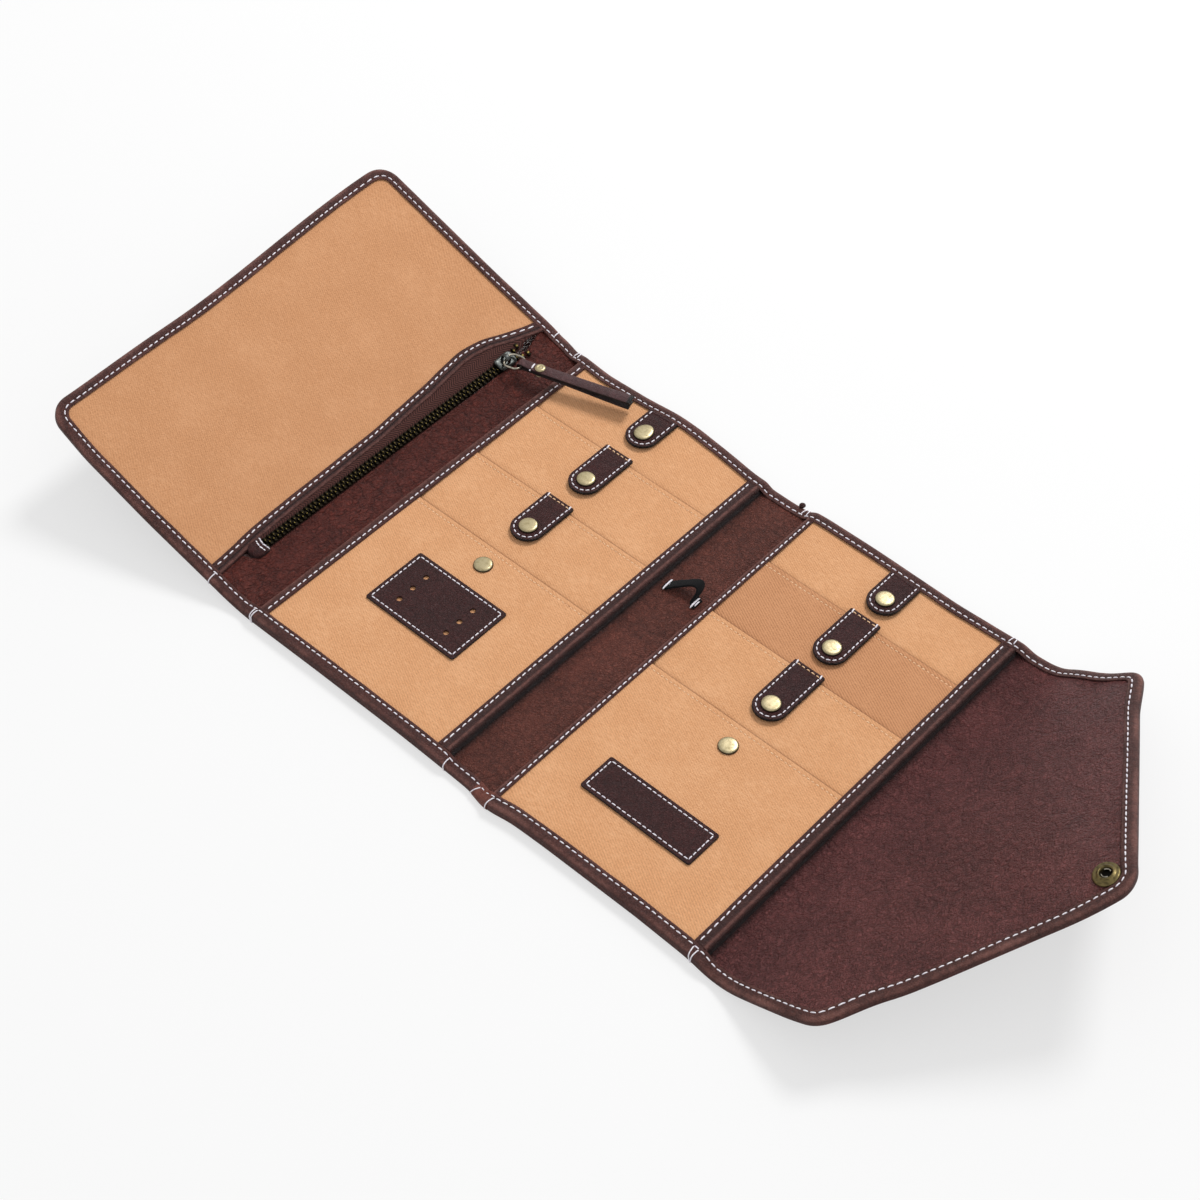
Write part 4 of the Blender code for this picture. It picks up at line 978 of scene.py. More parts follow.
def canvasRow(panel, number, settings):
    # a pocket's sheet: it slopes down behind the folded edge of the next row, its own upper edge is
    # a rounded fold with a thicker hem, and a groove carries the topstitching
    low, high = boxOf(f"{panel}_pocket_row_{number}")
    top, end = high[1], low[1]
    nextTop = boxOf(f"{panel}_pocket_row_{number + 1}")[1][1] if number < 4 else -126.55
    reach = top - nextTop
    slope = (settings["drop"] if number < 4 else settings["lastDrop"]) / reach
    down = np.concatenate([[0.0, 0.05, 0.15, 0.3, 0.5, 0.8, 1.2, 1.8, 2.3, 2.6, 2.8, 3.0, 3.2, 3.4, 3.7, 4.4,
                            5.5, 7.0, 7.6, 8.4], np.linspace(10.0, reach - 6, 24),
                           reach + np.arange(-4.5, 1.1, 0.5), [top - end]])
    down = np.unique(np.clip(down, 0, top - end))
    if number == 1:
        down = down[(down == 0) | (down > 9)]
    along = np.linspace(low[0], high[0], 84)
    across = top - down
    place, side = np.meshgrid(along, across, indexing="ij")
    wave = settings["wave"] * ripple(place, side, 40 + number + len(panel), 52)
    upper = settings["face"] - slope * down + wave * smooth((top - side) / 6)
    tuck = smooth((down - reach + 5) / 5) if number < 4 else 0 * down
    upper = upper - 0.35 * tuck ** 2
    hem = 0.28 * (1 - smooth((down - settings["hem"]) / 1.5)) if number > 1 else 0 * down
    lower = upper - settings["thick"] - hem
    shade = 0.9 * smooth((down - reach + 1.6) / 1.4) if number < 4 else 0 * down
    if number > 1:
        groove = np.exp(-((down - settings["stitchAt"]) / 0.40) ** 2)
        upper = upper - 0.20 * groove - 0.45 * np.exp(-down / 0.14)
        lower = lower + 0.40 * np.exp(-down / 0.14)
        upper = upper - 0.10 * np.exp(-((down - settings["hem"] - 0.6) / 0.5) ** 2)
        shade = np.maximum(shade, 0.28 * groove)
        shade = np.maximum(shade, 0.9 * np.exp(-(down / 0.28) ** 2))
    shape = sheetOf(place, side, upper, lower,
                    shade=perPoint(np.concatenate([shade, shade[::-1]]), len(along)))
    finish = "twillCanvas" if (panel, number) == ("panel_b", 2) else "canvas"
    piece = makePiece(f"{panel}_canvas_row_{number}", [shape], finish)
    settle(piece, "canvas", [f"{panel}_pocket_row_{number}"], body=panel)
    if number > 1:
        row = np.column_stack([along, np.full(84, top - settings["stitchAt"]),
                               np.interp(settings["stitchAt"], down, upper.mean(0)) * np.ones(84) + 0.16])
        sewn = makePiece(f"{panel}_row_{number}_topstitch",
                         [stitches(row, settings["pitch"], 2.1, 0.33, seed=number, slant=0.0)], "tanThread")
        settle(sewn, "canvas", body=panel)


for panel in ("panel_a", "panel_b"):
    for number in (1, 2, 3, 4):
        canvasRow(panel, number, canvasRows)
print("canvas rows made")


# the strip at each panel's left, and the binding round the pockets' mouth

panelStrips = {
    "panel_a": {"low": -170.2, "high": -164.0, "stitchFrom": 2.1, "pitch": 4.0},
    "panel_b": {"low": 2.6, "high": 6.6, "stitchFrom": 1.5, "pitch": 3.9},
}


def profileAcross(section, half, rim, count=90, seed=5, waver=0.05, paint=None, bow=None):
    # a closed (along, above) section carried across the case, with a slightly wavering line
    across = np.linspace(-half, half, count)
    section = np.array(section, float)
    rings = np.empty((count, len(section), 3))
    rings[..., 0] = section[:, 0] + waver * ripple(across, 0 * across, seed, 30)[:, None]
    if bow:
        rings[..., 0] += bow(across)[:, None]
    rings[..., 1] = across[:, None]
    rings[..., 2] = section[:, 1] + 0.5 * waver * ripple(across, 0 * across, seed + 1, 22)[:, None]
    own = {"rim": perPoint(rim, count)}
    if paint is not None:
        own["paint"] = perPoint(paint, count)
    return skin(onCase(rings), **own)


def acrossRow(along, above, half):
    # a straight line across the case, half its length to either side
    return atLength(np.array([[along, -half, above], [along, half, above]]), np.linspace(0, 2 * half, 60))


def makeStrip(panel, settings):
    # leather turned over the pockets' left edge, down to the inner leather
    low, high = settings["low"], settings["high"]
    sewn = high - settings["stitchFrom"]
    section = [(high, 3.5), (high + 0.05, 3.9), (high - 0.3, 4.28), (sewn + 0.5, 4.38), (sewn, 4.16),
               (sewn - 0.5, 4.38), (low + 1.2, 4.5), (low + 0.35, 4.25), (low - 0.1, 3.6), (low - 0.25, 2.4),
               (low - 0.45, 1.35), (low - 0.9, 1.08), (low + 0.5, 1.08), (low + 0.75, 2.4), (low + 1.0, 3.4)]
    rim = [0, 0.1, 0.1, 0, 0, 0, 0.7, 1, 0.6, 0.1, 0, 0, 0, 0, 0]
    piece = makePiece(f"{panel}_strip", [profileAcross(section, 121.2, rim, seed=int(abs(low)))],
                      "brownLeather")
    settle(piece, "brown_leather", [f"{panel}_edge_binding"], body=panel)
    row = acrossRow(sewn, 4.40, 119.6)
    settle(makePiece(f"{panel}_strip_stitches", [stitches(row, settings["pitch"], seed=2)], "whiteThread"),
           "brown_leather", body=panel)


def makeMouth(panel, pitch=3.95):
    # leather folded round the pockets' free edge: a thick roll with the slip pocket's slot below
    low, high = boxOf(f"{panel}_mouth_binding")
    left, right = low[0], high[0]
    sewn = left + 2.2
    section = [(left, 3.5), (left - 0.05, 3.95), (left + 0.25, 4.32), (sewn - 0.5, 4.44), (sewn, 4.2),
               (sewn + 0.5, 4.46), (left + 3.6, 4.35), (left + 4.8, 4.2), (left + 5.6, 4.45),
               (left + 6.5, 4.75), (left + 7.4, 4.72), (left + 8.1, 4.35), (left + 8.6, 3.6),
               (left + 8.9, 2.6), (right - 0.4, 1.5), (right - 0.9, 1.25), (right - 2.0, 1.12),
               (left + 1.5, 1.12), (left + 1.5, 1.7), (right - 2.6, 1.7), (right - 2.4, 2.4),
               (right - 2.9, 3.1), (right - 3.8, 3.6)]
    # rim paints a highlight along the roll's ridge; paint paints shade on the band beside the stitches, down
    # the roll's far flank and in the slot below
    rim = [0, 0.1, 0.3, 0.2, 0, 0.1, 0, 0, 0.3, 0.8, 0.6, 0.1] + [0] * 11
    paint = [0, 0, 0, 0, 0.2, 0.1, 0.3, 0.4, 0.15, 0, 0, 0.2, 0.6, 0.9] + [1] * 9
    roll = profileAcross(section, 120.6, rim, seed=9, paint=paint)
    piece = makePiece(f"{panel}_mouth_roll", [roll], "brownLeather")
    settle(piece, "brown_leather", [f"{panel}_mouth_binding"], body=panel)
    row = acrossRow(sewn, 4.44, 119.4)
    settle(makePiece(f"{panel}_mouth_stitches", [stitches(row, pitch, seed=4)], "whiteThread"),
           "brown_leather", body=panel)


for panel, settings in panelStrips.items():
    makeStrip(panel, settings)
    makeMouth(panel)
print("strips and mouth bindings made")


# tabs with their press studs

tabLook = {
    # (inset, height) from the underside, round the painted edge, to the stitched and padded top
    "layers": [(1.2, 3.74), (0.25, 3.7), (0.0, 3.95), (0.0, 4.5), (0.14, 4.64), (0.0, 4.78), (0.02, 5.25),
               (0.3, 5.55), (0.8, 5.64), (1.55, 5.6), (2.0, 5.38), (2.45, 5.6), (3.2, 5.72), (5.0, 5.76),
               (8.0, 5.76)],
    "paint": [0.6, 1, 1, 1, 1, 1, 1, 0.55, 0, 0, 0, 0, 0, 0, 0],
    "rim": [0, 0, 0, 0, 0, 0, 0, 0.3, 0.5, 0, 0, 0, 0.1, 0, 0],
    "stitchIn": 2.0, "pitch": 3.35, "dash": 2.55,
}
capLook = {
    "top": [(0.15, 7.2), (2.2, 7.2), (3.9, 7.15), (4.6, 7.05), (5.0, 6.86), (5.25, 6.55), (5.38, 6.2),
            (5.42, 5.9), (5.36, 5.8), (4.1, 5.8)],
    "socket": [(4.0, 4.3), (2.6, 4.3), (2.6, 5.5), (0.15, 5.5)],
}


def capPaint(profile):
    # painted dark reflection low on the cap's side
    height = np.array(profile)[:, 1]
    return perRing(0.95 * smooth((height.max() - 0.25 - height) / 0.5), 36)


def tabCorners(panel, number):
    # a tab's outline: round at its free end, nearly square at the sewn one
    low, high = boxOf(f"{panel}_tab_{number}_strap")
    half = (high[0] - low[0]) / 2
    return [(low[0], low[1], half - 0.02), (high[0], low[1], half - 0.02), (high[0], high[1], 0.8),
            (low[0], high[1], 0.8)]


def makeTab(panel, number, settings):
    # a stitched leather tab with a black painted edge, and its cap
    corners = tabCorners(panel, number)
    count = 4 * 17
    shape = stackedPlate(corners, settings["layers"], 16, paint=perRing(settings["paint"], count),
                         rim=perRing(settings["rim"], count))
    body = f"{panel}_tab_{number}"
    settle(makePiece(f"{body}_leather", [shape], "patchLeather"), "brown_leather", [f"{body}_strap"],
           body=body)
    # the white row runs round the free end, from one corner of the sewn end to the other
    ring = np.roll(outline(corners, settings["stitchIn"], 16), -51, axis=0)
    end = ring[0, 1] - (0.4 if number > 1 else -1.6)
    path = np.concatenate([[[ring[0, 0], end]], ring[:-16][ring[:-16, 1] < end - 0.5],
                           [[ring[-17, 0], end]]])
    path = np.column_stack([path, np.full(len(path), 5.60)])
    rows = [stitches(path, settings["pitch"], settings["dash"], 0.36, number)]
    if number > 1:
        for side in (path[0, 0], path[-1, 0]):
            bar = np.column_stack([np.full(8, side), np.linspace(end - 1.2, end + 3.4, 8), np.full(8, 5.72)])
            rows.append(stitches(bar, 4.6, 3.2, 0.46, number, slant=0.2))
        line = np.linspace(path[0, 0], path[-1, 0], 24)
        line = np.column_stack([line, np.full(24, end + 0.5), np.full(24, 5.66)])
        settle(makePiece(f"{body}_row_stitches", [stitches(line, 2.9, 2.2, 0.34, number, slant=0.0)],
                         "tanThread"), "brown_leather", body=body)
    settle(makePiece(f"{body}_stitches", rows, "whiteThread"), "brown_leather", body=body)
    low, high = boxOf(f"{body}_cap")
    profile = capLook["top"] + capLook["socket"]
    cap = turned((low + high)[:2] / 2, profile, paint=capPaint(profile))
    settle(makePiece(f"{body}_dome", [cap], "antiqueBrass", sharp=50), "antique_brass", [f"{body}_cap"],
           body=body)


for panel in ("panel_a", "panel_b"):
    for number in (1, 2, 3):
        makeTab(panel, number, tabLook)
    low, high = boxOf(f"{panel}_row_4_snap")
    lowered = [(radius, height - 2.25) for radius, height in capLook["top"]] + [(0.15, 3.5)]
    dome = turned((low + high)[:2] / 2, lowered, paint=capPaint(lowered))
    settle(makePiece(f"{panel}_bare_dome", [dome], "antiqueBrass", sharp=50),
           "antique_brass", [f"{panel}_row_4_snap"], body=panel)
print("tabs made")


# patches

patchLook = {
    "layers": [(1.0, 3.44), (0.2, 3.4), (0.0, 3.6), (0.0, 4.1), (0.12, 4.36), (0.45, 4.5), (1.2, 4.54),
               (1.85, 4.5), (2.25, 4.28), (2.65, 4.5), (3.3, 4.56), (3.9, 4.56)],
    "paint": [0.6, 1, 1, 1, 0.7, 0.1, 0, 0, 0, 0, 0, 0],
    "stitchIn": 2.25, "pitch": 3.35, "dash": 2.75, "holeRadius": 1.65, "holeColumns": 34.3, "holePitch": 10.0,
}


def pierce(piece, holes, radius, low, high):
    # cuts small round holes through a piece
    drills = [turned(centre, [(radius, low), (radius, high)], count=20) for centre in holes]
    drill = makePiece("drill", drills, "darkLeather")
    cut = piece.modifiers.new("holes", "BOOLEAN")
    cut.operation = "DIFFERENCE"
    cut.object = drill
    bpy.context.view_layer.update()
    evaluated = piece.evaluated_get(bpy.context.evaluated_depsgraph_get())
    mesh = bpy.data.meshes.new_from_object(evaluated)
    piece.modifiers.clear()
    mesh.set_sharp_from_angle(angle=math.radians(30))
    piece.data = mesh
    bpy.data.objects.remove(drill, do_unlink=True)


def makePatch(node, settings, holes=False):
    # a stitched patch with painted edges, pierced with two columns of holes or left whole
    low, high = boxOf(node)
    corners = [(low[0], low[1], 1.5), (high[0], low[1], 1.5), (high[0], high[1], 1.5), (low[0], high[1], 1.5)]
    count = 4 * 7
    shape = stackedPlate(corners, settings["layers"], 6, paint=perRing(settings["paint"], count))
    piece = makePiece(f"{node}_leather", [shape], "patchLeather")
    body = node[:7]
    if holes:
        centre = (low + high)[:2] / 2
        spots = [centre + (side * settings["holeColumns"] / 2, row * settings["holePitch"])
                 for side in (-1, 1) for row in (-1, 0, 1)]
        pierce(piece, spots, settings["holeRadius"], 3.0, 5.6)
    settle(piece, "brown_leather", [node], body=body)
    inset = settings["stitchIn"]
    rows = []
    spots = [(low[0] + inset, low[1] + inset), (high[0] - inset, low[1] + inset),
             (high[0] - inset, high[1] - inset), (low[0] + inset, high[1] - inset)]
    for number in range(4):
        start, end = np.array(spots[number]), np.array(spots[(number + 1) % 4])
        line = start + (end - start) * np.linspace(0, 1, 20)[:, None]
        rows.append(stitches(np.column_stack([line, np.full(20, 4.5)]), settings["pitch"], settings["dash"],
                             0.36, number + 3))
    settle(makePiece(f"{node}_stitches", rows, "whiteThread"), "brown_leather", body=body)


makePatch("panel_a_hole_patch", patchLook, holes=True)
makePatch("panel_b_name_patch", patchLook)
print("patches made")


# elastic loop on spine 2

elasticLoop = {
    "start": 5.0, "span": 17.2, "rise": 7.6, "foot": 1.3, "thick": 1.5, "lean": 7.5, "broad": 1.5,
    # as shares of the span and of the rise
    "arch": [(-0.14, 0.05), (-0.05, 0.06), (0.02, 0.12), (0.10, 0.24), (0.24, 0.42), (0.38, 0.56),
             (0.52, 0.73), (0.66, 0.87), (0.78, 0.95), (0.88, 0.95), (0.95, 0.86), (0.98, 0.66),
             (0.965, 0.42), (0.95, 0.22), (0.99, 0.10), (1.08, 0.06), (1.15, 0.05)],
}


def makeLoop(settings):
    # a flat band with rounded edges carried along an uneven arch, sewn down at both feet
    arch = np.array(settings["arch"]) * (settings["span"], settings["rise"])
    path = softened(atLength(arch, np.linspace(0, lengths(arch)[-1], 90)), 6)
    way = wayAlong(path)
    out = np.stack([-way[:, 1], way[:, 0]], -1)
    low, high = boxOf("spine_2_elastic_loop")
    middle, half = (low[1] + high[1]) / 2, (high[1] - low[1]) / 2 * settings["broad"]
    angle = roundAngles(16)
    wide = half * blunt(np.cos(angle), 0.25)
    thin = settings["thick"] / 2 * blunt(np.sin(angle), 0.6)
    squeeze = 1 - 0.16 * np.sin(np.linspace(0, math.pi, 90))
    rings = np.empty((90, 16, 3))
    rings[..., 0] = panelAFold + settings["start"] + path[:, :1] + out[:, :1] * thin
    lean = settings["lean"] * (path[:, 1:] / settings["rise"]) ** 1.2
    rings[..., 1] = middle + wide * squeeze[:, None] + lean
    rings[..., 2] = settings["foot"] + path[:, 1:] + out[:, 1:] * thin
    flat = np.stack([np.broadcast_to(np.linspace(0, 0.3, 90)[:, None], (90, 16)),
                     np.broadcast_to(wide * 0.01, (90, 16))], -1)
    piece = makePiece("elastic_loop", [skin(onCase(rings), flat=flat)], "blackElastic")
    settle(piece, "black_elastic", ["spine_2_elastic_loop"], body="spine_2")
    rows = []
    start = panelAFold + settings["start"]
    left, right = start - 1.2, start + 17.9
    for x, thick in ((left, 0.52), (left + 1.6, 0.36), (right, 0.55), (right + 1.4, 0.4)):
        line = np.array([[x, middle - 4.6, 2.85], [x + 0.1, middle + 4.6, 2.85]])
        long = 8.2 if thick > 0.4 else 4.0
        rows.append(stitches(atLength(line, np.linspace(0, 9.2, 12)), 9.2, long, thick))
    settle(makePiece("elastic_loop_tacks", rows, "whiteThread"), "black_elastic", body="spine_2")


makeLoop(elasticLoop)
print("elastic loop made")


# zip: canvas face, strip, tape, teeth, end tab

zipPanel = {
    "faceStart": 14.3, "faceLow": 0.25, "faceHigh": 1.45, "stripLow": 10.6, "stripHigh": 17.2,
    "tape": (1.4, 13.8, -92.0, 114.0, 0.25, 0.85), "chain": 6.1, "chainLow": -92.0, "chainHigh": 108.0,
    "toothPitch": 3.03, "stitchPitch": 4.35,
}


def zipPlace(back):
    # place along the case at a distance back from the zip panel's fold
    return zipFold - back


# the sewn strip wanders from a straight line: (place across, millimetres towards the fold)
bowLine = eased([(-128, 4.0), (-120, 3.6), (-106, 2.2), (-92, 0.3), (-60, -0.8), (0, -2.4), (45, -5.8),
                 (62, -8.0), (78, -9.4), (94, -7.4), (108, -2.0), (118, 3.0), (128, 4.0)], -135, 135)


def zipBow(across):
    # how far the sewn strip stands towards the fold
    return np.interp(across, *bowLine)


def makeZipFace(settings):
    # the canvas over the zip panel, bent along the sewn strip
    along = tipSteps(zipFar, zipPlace(settings["faceStart"]), 3.0, [])
    shape = layer(along, zipHalf, settings["faceLow"], settings["faceHigh"] + 0 * along, columns=64,
                  wave=0.12, seed=17, bow=zipBow)
    piece = makePiece("zip_panel_canvas", [shape], "zipCanvas")
    settle(piece, "canvas", ["zip_panel_canvas_face"], body="zip_panel")


def makeZipStrip(settings):
    # leather turned over the canvas beside the zip, with its stitches
    near, far = zipPlace(settings["stripLow"]), zipPlace(settings["stripHigh"] + 0.9)
    sewn = far + 2.2
    section = [(far, 1.5), (far - 0.03, 2.1), (far + 0.3, 2.45), (sewn - 0.5, 2.52), (sewn, 2.3),
               (sewn + 0.5, 2.5), (far + 3.9, 2.5), (far + 4.5, 2.15), (far + 5.1, 2.55), (near - 1.6, 2.9),
               (near - 0.8, 2.85), (near - 0.2, 2.4), (near, 1.9), (near - 0.3, 1.3), (near - 1.2, 1.05),
               (near - 1.6, 1.5)]
    # paint darkens the canvas-side edge to near-black, and paints shade in the groove beside the ridge and
    # under the near rolled edge
    rim = [0, 0, 0.1, 0, 0, 0, 0, 0, 0.2, 0.6, 0.7, 0.2, 0, 0, 0, 0]
    paint = [0.6, 0.4, 0, 0, 0.2, 0, 0.2, 0.9, 0.2, 0, 0, 0.2, 0.7, 1, 1, 1]
    piece = makePiece("zip_strip", [profileAcross(section, 121.0, rim, seed=31, waver=0.12, paint=paint,
                                                  bow=zipBow)], "brownLeather")
    settle(piece, "brown_leather", ["zip_panel_zip_strip"], body="zip_panel")
    across = np.linspace(-119.5, 119.5, 90)
    row = np.column_stack([sewn + zipBow(across), across, np.full(90, 2.52)])
    settle(makePiece("zip_strip_stitches", [stitches(row, settings["stitchPitch"], seed=6)], "whiteThread"),
           "brown_leather", body="zip_panel")


def slab(low, high, bottom, top, rows=2, columns=2):
    # a thin flat sheet between two (along, across) corners
    along, across = np.linspace(low[0], high[0], rows), np.linspace(low[1], high[1], columns)
    return sheetOf(*np.meshgrid(along, across, indexing="ij"), top, bottom)


def makeTape(settings):
    # woven tape, puffed up between the strip and the chain
    near, far, low, high, bottom, top = settings["tape"]
    across = np.linspace(low, high, 90)
    start = (zipPlace(far) + zipBow(across))[:, None]
    place = start + np.linspace(0, 1, 32) * (zipPlace(near) - start)
    middle = np.clip((place - start) / (zipPlace(8.6) - start), 0, 1)
    puff = 1.5 * np.sqrt(np.clip(4 * middle * (1 - middle), 0, 1))
    tape = sheetOf(place, across[:, None], top + puff, bottom)
    piece = makePiece("zip_tape_cloth", [tape], "zipTape")
    settle(piece, "zip_tape", ["zip_panel_zip_tape"], body="zip_panel")


def makeLining():
    # the pocket's canvas lining lies under the strip and shows as a sliver beyond the chain's ends
    across = np.linspace(-120.9, 120.9, 160)
    right = zipPlace(13.0) + (3.6 + 0.105 * (across + 99)) * smooth((-98 - across) / 2.5)
    right = right + (1.2 + 0.25 * (across - 108)) * smooth((across - 107) / 3)
    share = np.linspace(0, 1, 24)
    place = zipPlace(23.0) + share * (right - zipPlace(23.0))[:, None]
    lift = 1.95 * smooth((place - zipPlace(12.9)) / 2.2)
    lining = sheetOf(place, across[:, None], 0.2 + lift, 0.03 + lift * 0.9)
    piece = makePiece("zip_pocket_lining", [lining], "zipCanvas")
    settle(piece, "canvas", body="zip_panel")


def makeTeeth(settings):
    # two rows of separate teeth that reach in turn across the middle; each is a small dark bar with
    # a clamped root, a waist and a head, seven sections of eight points, and a bright bead on top as a
    # painted highlight, brighter on the row towards the fold
    pitch = settings["toothPitch"]
    base = slab((zipPlace(9.0), settings["chainLow"]), (zipPlace(3.4), 98.0), 0.9, 1.9, 2, 40)
    rows = [{"points": base["points"], "faces": base["faces"]}]
    reach = np.array([-2.9, -2.8, -1.7, -0.9, -0.2, 0.45, 0.6])
    wide = np.array([0.5, 0.72, 0.66, 0.5, 0.66, 0.6, 0.36]) * pitch / 2.6
    high = np.array([0.55, 1.0, 1.0, 0.82, 1.0, 0.95, 0.6])
    angle = roundAngles(8) + math.pi / 8
    circle = np.clip(np.stack([np.cos(angle), np.sin(angle)]) / math.cos(math.pi / 8), -1, 1)
    latitude = np.radians([-60, -20, 20, 60, 85])
    turn = roundAngles(8)
    for side, shift in ((-1, 0.0), (1, pitch / 2)):
        across = np.arange(settings["chainLow"] + 1.2 + shift, settings["chainHigh"], pitch)
        spread = 2.8 * smooth((across - 99) / 8)
        middle = zipPlace(settings["chain"]) + side * spread
        rings = np.empty((len(across), 7, 8, 3))
        rings[..., 0] = middle[:, None, None] - side * reach[None, :, None]
        rings[..., 1] = across[:, None, None] + (wide[:, None] * circle[0])[None]
        rings[..., 2] = 2.25 + (high[:, None] * circle[1])[None]
        size = 1 + 0.6 * smooth((across - 98) / 3)[:, None, None]
        glintBeads = np.empty((len(across), 5, 8, 3))
        glintBeads[..., 0] = middle[:, None, None] + side * 0.95 + size * (
            0.40 * np.cos(latitude)[:, None] * np.cos(turn))[None]
        glintBeads[..., 1] = across[:, None, None] + size * (0.36 * np.cos(latitude)[:, None] * np.sin(turn))[None]
        glintBeads[..., 2] = 3.2 + (0.38 * np.sin(latitude)[:, None] + 0 * turn)[None]
        # the beads are painted highlight on the teeth's heads, stronger on the row towards the fold
        for points, bright in ((rings, 0.0), (glintBeads, 0.62 if side > 0 else 0.4)):
            count, sections = points.shape[:2]
            offset = (np.arange(count) * sections * 8)[:, None, None]
            caps = np.stack([np.arange(8)[::-1], (sections - 1) * 8 + np.arange(8)])
            rows.append({"points": onCase(points).reshape(-1, 3),
                         "paint": np.full(count * sections * 8, bright),
                         "faces": [(gridQuads(sections, 8) + offset).reshape(-1, 4),
                                   (caps + offset).reshape(-1, 8)]})
    piece = makePiece("zip_teeth_rows", rows, "darkBrass")
    settle(piece, "dark_brass", ["zip_panel_zip_teeth"], body="zip_panel")


endTab = {
    "length": 10.4, "width": 10.2,
    "layers": [(0.3, 0.28), (0.0, 0.8), (0.0, 1.9), (0.25, 2.8), (0.9, 3.5), (1.8, 3.95), (3.0, 4.2),
               (4.2, 4.28)],
    "paint": [1, 1, 0.8, 0.3, 0, 0, 0, 0],
}


def makeEndTab(settings):
    # a puffed piece of leather over the chain's lower end, round at its outer end
    high = zipPanel["chainLow"] - 0.1
    middle = zipPlace(zipPanel["chain"])
    half = settings["width"] / 2
    low = high - settings["length"]
    corners = [(middle - half, low, 4.4), (middle + half, low, 4.4), (middle + half, high, 1.2),
               (middle - half, high, 1.2)]
    shape = stackedPlate(corners, settings["layers"], 8, paint=perRing(settings["paint"], 4 * 9))
    settle(makePiece("zip_end_tab", [shape], "patchLeather", sharp=60), "dark_leather",
           ["zip_panel_zip_end_tab"], body="zip_panel")
    rows = []
    for across in (high - 1.5, high - 3.9):
        side = np.linspace(-4.4, 4.4, 20)
        puff = 4.36 - 1.9 * smooth((abs(side) - 2.4) / 2.8)
        line = np.column_stack([middle + side, across + 0.07 * side ** 2, puff])
        rows.append(stitches(line, 2.9, 2.6, 0.40, 8))
    settle(makePiece("zip_end_tab_stitches", rows, "whiteThread"), "dark_leather", body="zip_panel")


makeZipFace(zipPanel)
makeZipStrip(zipPanel)
makeTape(zipPanel)
makeLining()
makeTeeth(zipPanel)
makeEndTab(endTab)
print("zip made")


# slider, ring and pull

slider = {
    "across": 93.5, "length": 13.0,
    "plate": [(0.5, 3.72), (0.1, 3.8), (0.0, 4.1), (0.0, 4.7), (0.25, 5.0), (0.8, 5.12), (2.4, 5.12)],
    "flange": [(0.1, 1.15), (0.0, 1.3), (0.0, 4.2), (0.2, 4.3)],
    "bailSpan": 5.2, "bailWide": 2.8,
}


def makeSlider(settings):
    # a plate that narrows towards the closed side, with turned-down flanges, and an arched bail
    middle, across, half = zipPlace(zipPanel["chain"]), settings["across"], settings["length"] / 2
    corners = [(middle - 3.6, across - half, 1.4), (middle + 3.6, across - half, 1.4),
               (middle + 4.5, across + half, 2.6), (middle - 4.5, across + half, 2.6)]
    shapes = [stackedPlate(corners, settings["plate"], 8)]
    for side in (-1, 1):
        flange = [(middle + side * out, across + end, 0.4) for out, end in (
            (3.35, 0.9 - half), (4.0, 0.9 - half), (4.5, half - 1.4), (3.4, half - 1.4))]
        shapes.append(stackedPlate(flange, settings["flange"], 3))
    span = settings["bailSpan"] / 2
    arch = np.array([(-span, 4.6), (-span, 6.6), (-span + 0.25, 7.8), (-span + 1.1, 8.6), (0, 8.9),
                     (span - 1.1, 8.6), (span - 0.25, 7.8), (span, 6.6), (span, 4.6)])
    path = softened(atLength(arch, np.linspace(0, lengths(arch)[-1], 40)), 3)
    way = wayAlong(path)
    angle = roundAngles(12)
    thin = 0.45 * blunt(np.sin(angle), 0.7)
    wide = settings["bailWide"] / 2 * blunt(np.cos(angle), 0.5)
    rings = np.empty((40, 12, 3))
    rings[..., 0] = middle + path[:, :1] + way[:, 1:] * thin
    rings[..., 1] = across + wide
    rings[..., 2] = path[:, 1:] - way[:, :1] * thin
    shapes.append(skin(onCase(rings)))
    settle(makePiece("slider_body", shapes, "gunmetal", sharp=50), "gunmetal", ["zip_slider"],
           body="zip_slider")


pullLook = {
    "yaw": 16.4, "ringLong": 10.0, "ringWide": 10.5, "ringRound": 3.2, "wire": 0.66,
    "length": 69.0, "width": 6.8, "layer": 1.15, "slit": 0.5, "eye": 1.2, "rivetAt": 11.5,
}
ringOrigin = np.array(joints["pull_ring_swing"]["pos_m"]) * 1000
eyeOrigin = np.array(joints["pull_leather_swing"]["pos_m"]) * 1000


def levelFrame(origin, yaw):
    # mapping of (forwards, sideways, up) from an origin, turned about the vertical
    c, s = math.cos(math.radians(yaw)), math.sin(math.radians(yaw))
    return lambda place: origin + np.stack([place[..., 0] * c - place[..., 1] * s,
                                            place[..., 0] * s + place[..., 1] * c, place[..., 2]], -1)


def makeRing(settings):
    # round wire carried along a rounded rectangle
    long, wide, corner = settings["ringLong"], settings["ringWide"] / 2, settings["ringRound"]
    path = outline([(0, -wide, corner), (long, -wide, corner), (long, wide, corner), (0, wide, corner)])
    ahead = np.roll(path, -1, axis=0) - np.roll(path, 1, axis=0)
    ahead /= np.linalg.norm(ahead, axis=1, keepdims=True)
    side = np.stack([ahead[:, 1], -ahead[:, 0]], -1)
    angle = roundAngles(12)
    rings = np.empty((len(path), 12, 3))
    rings[..., :2] = path[:, None] + side[:, None] * (settings["wire"] * np.cos(angle))[:, None]
    rings[..., 2] = settings["wire"] * np.sin(angle)
    piece = makePiece("ring_wire", [skin(levelFrame(ringOrigin, settings["yaw"])(rings), closed=True)],
                      "ringSteel", sharp=60)
    settle(piece, "gunmetal", ["pull_ring"], body="pull_ring")


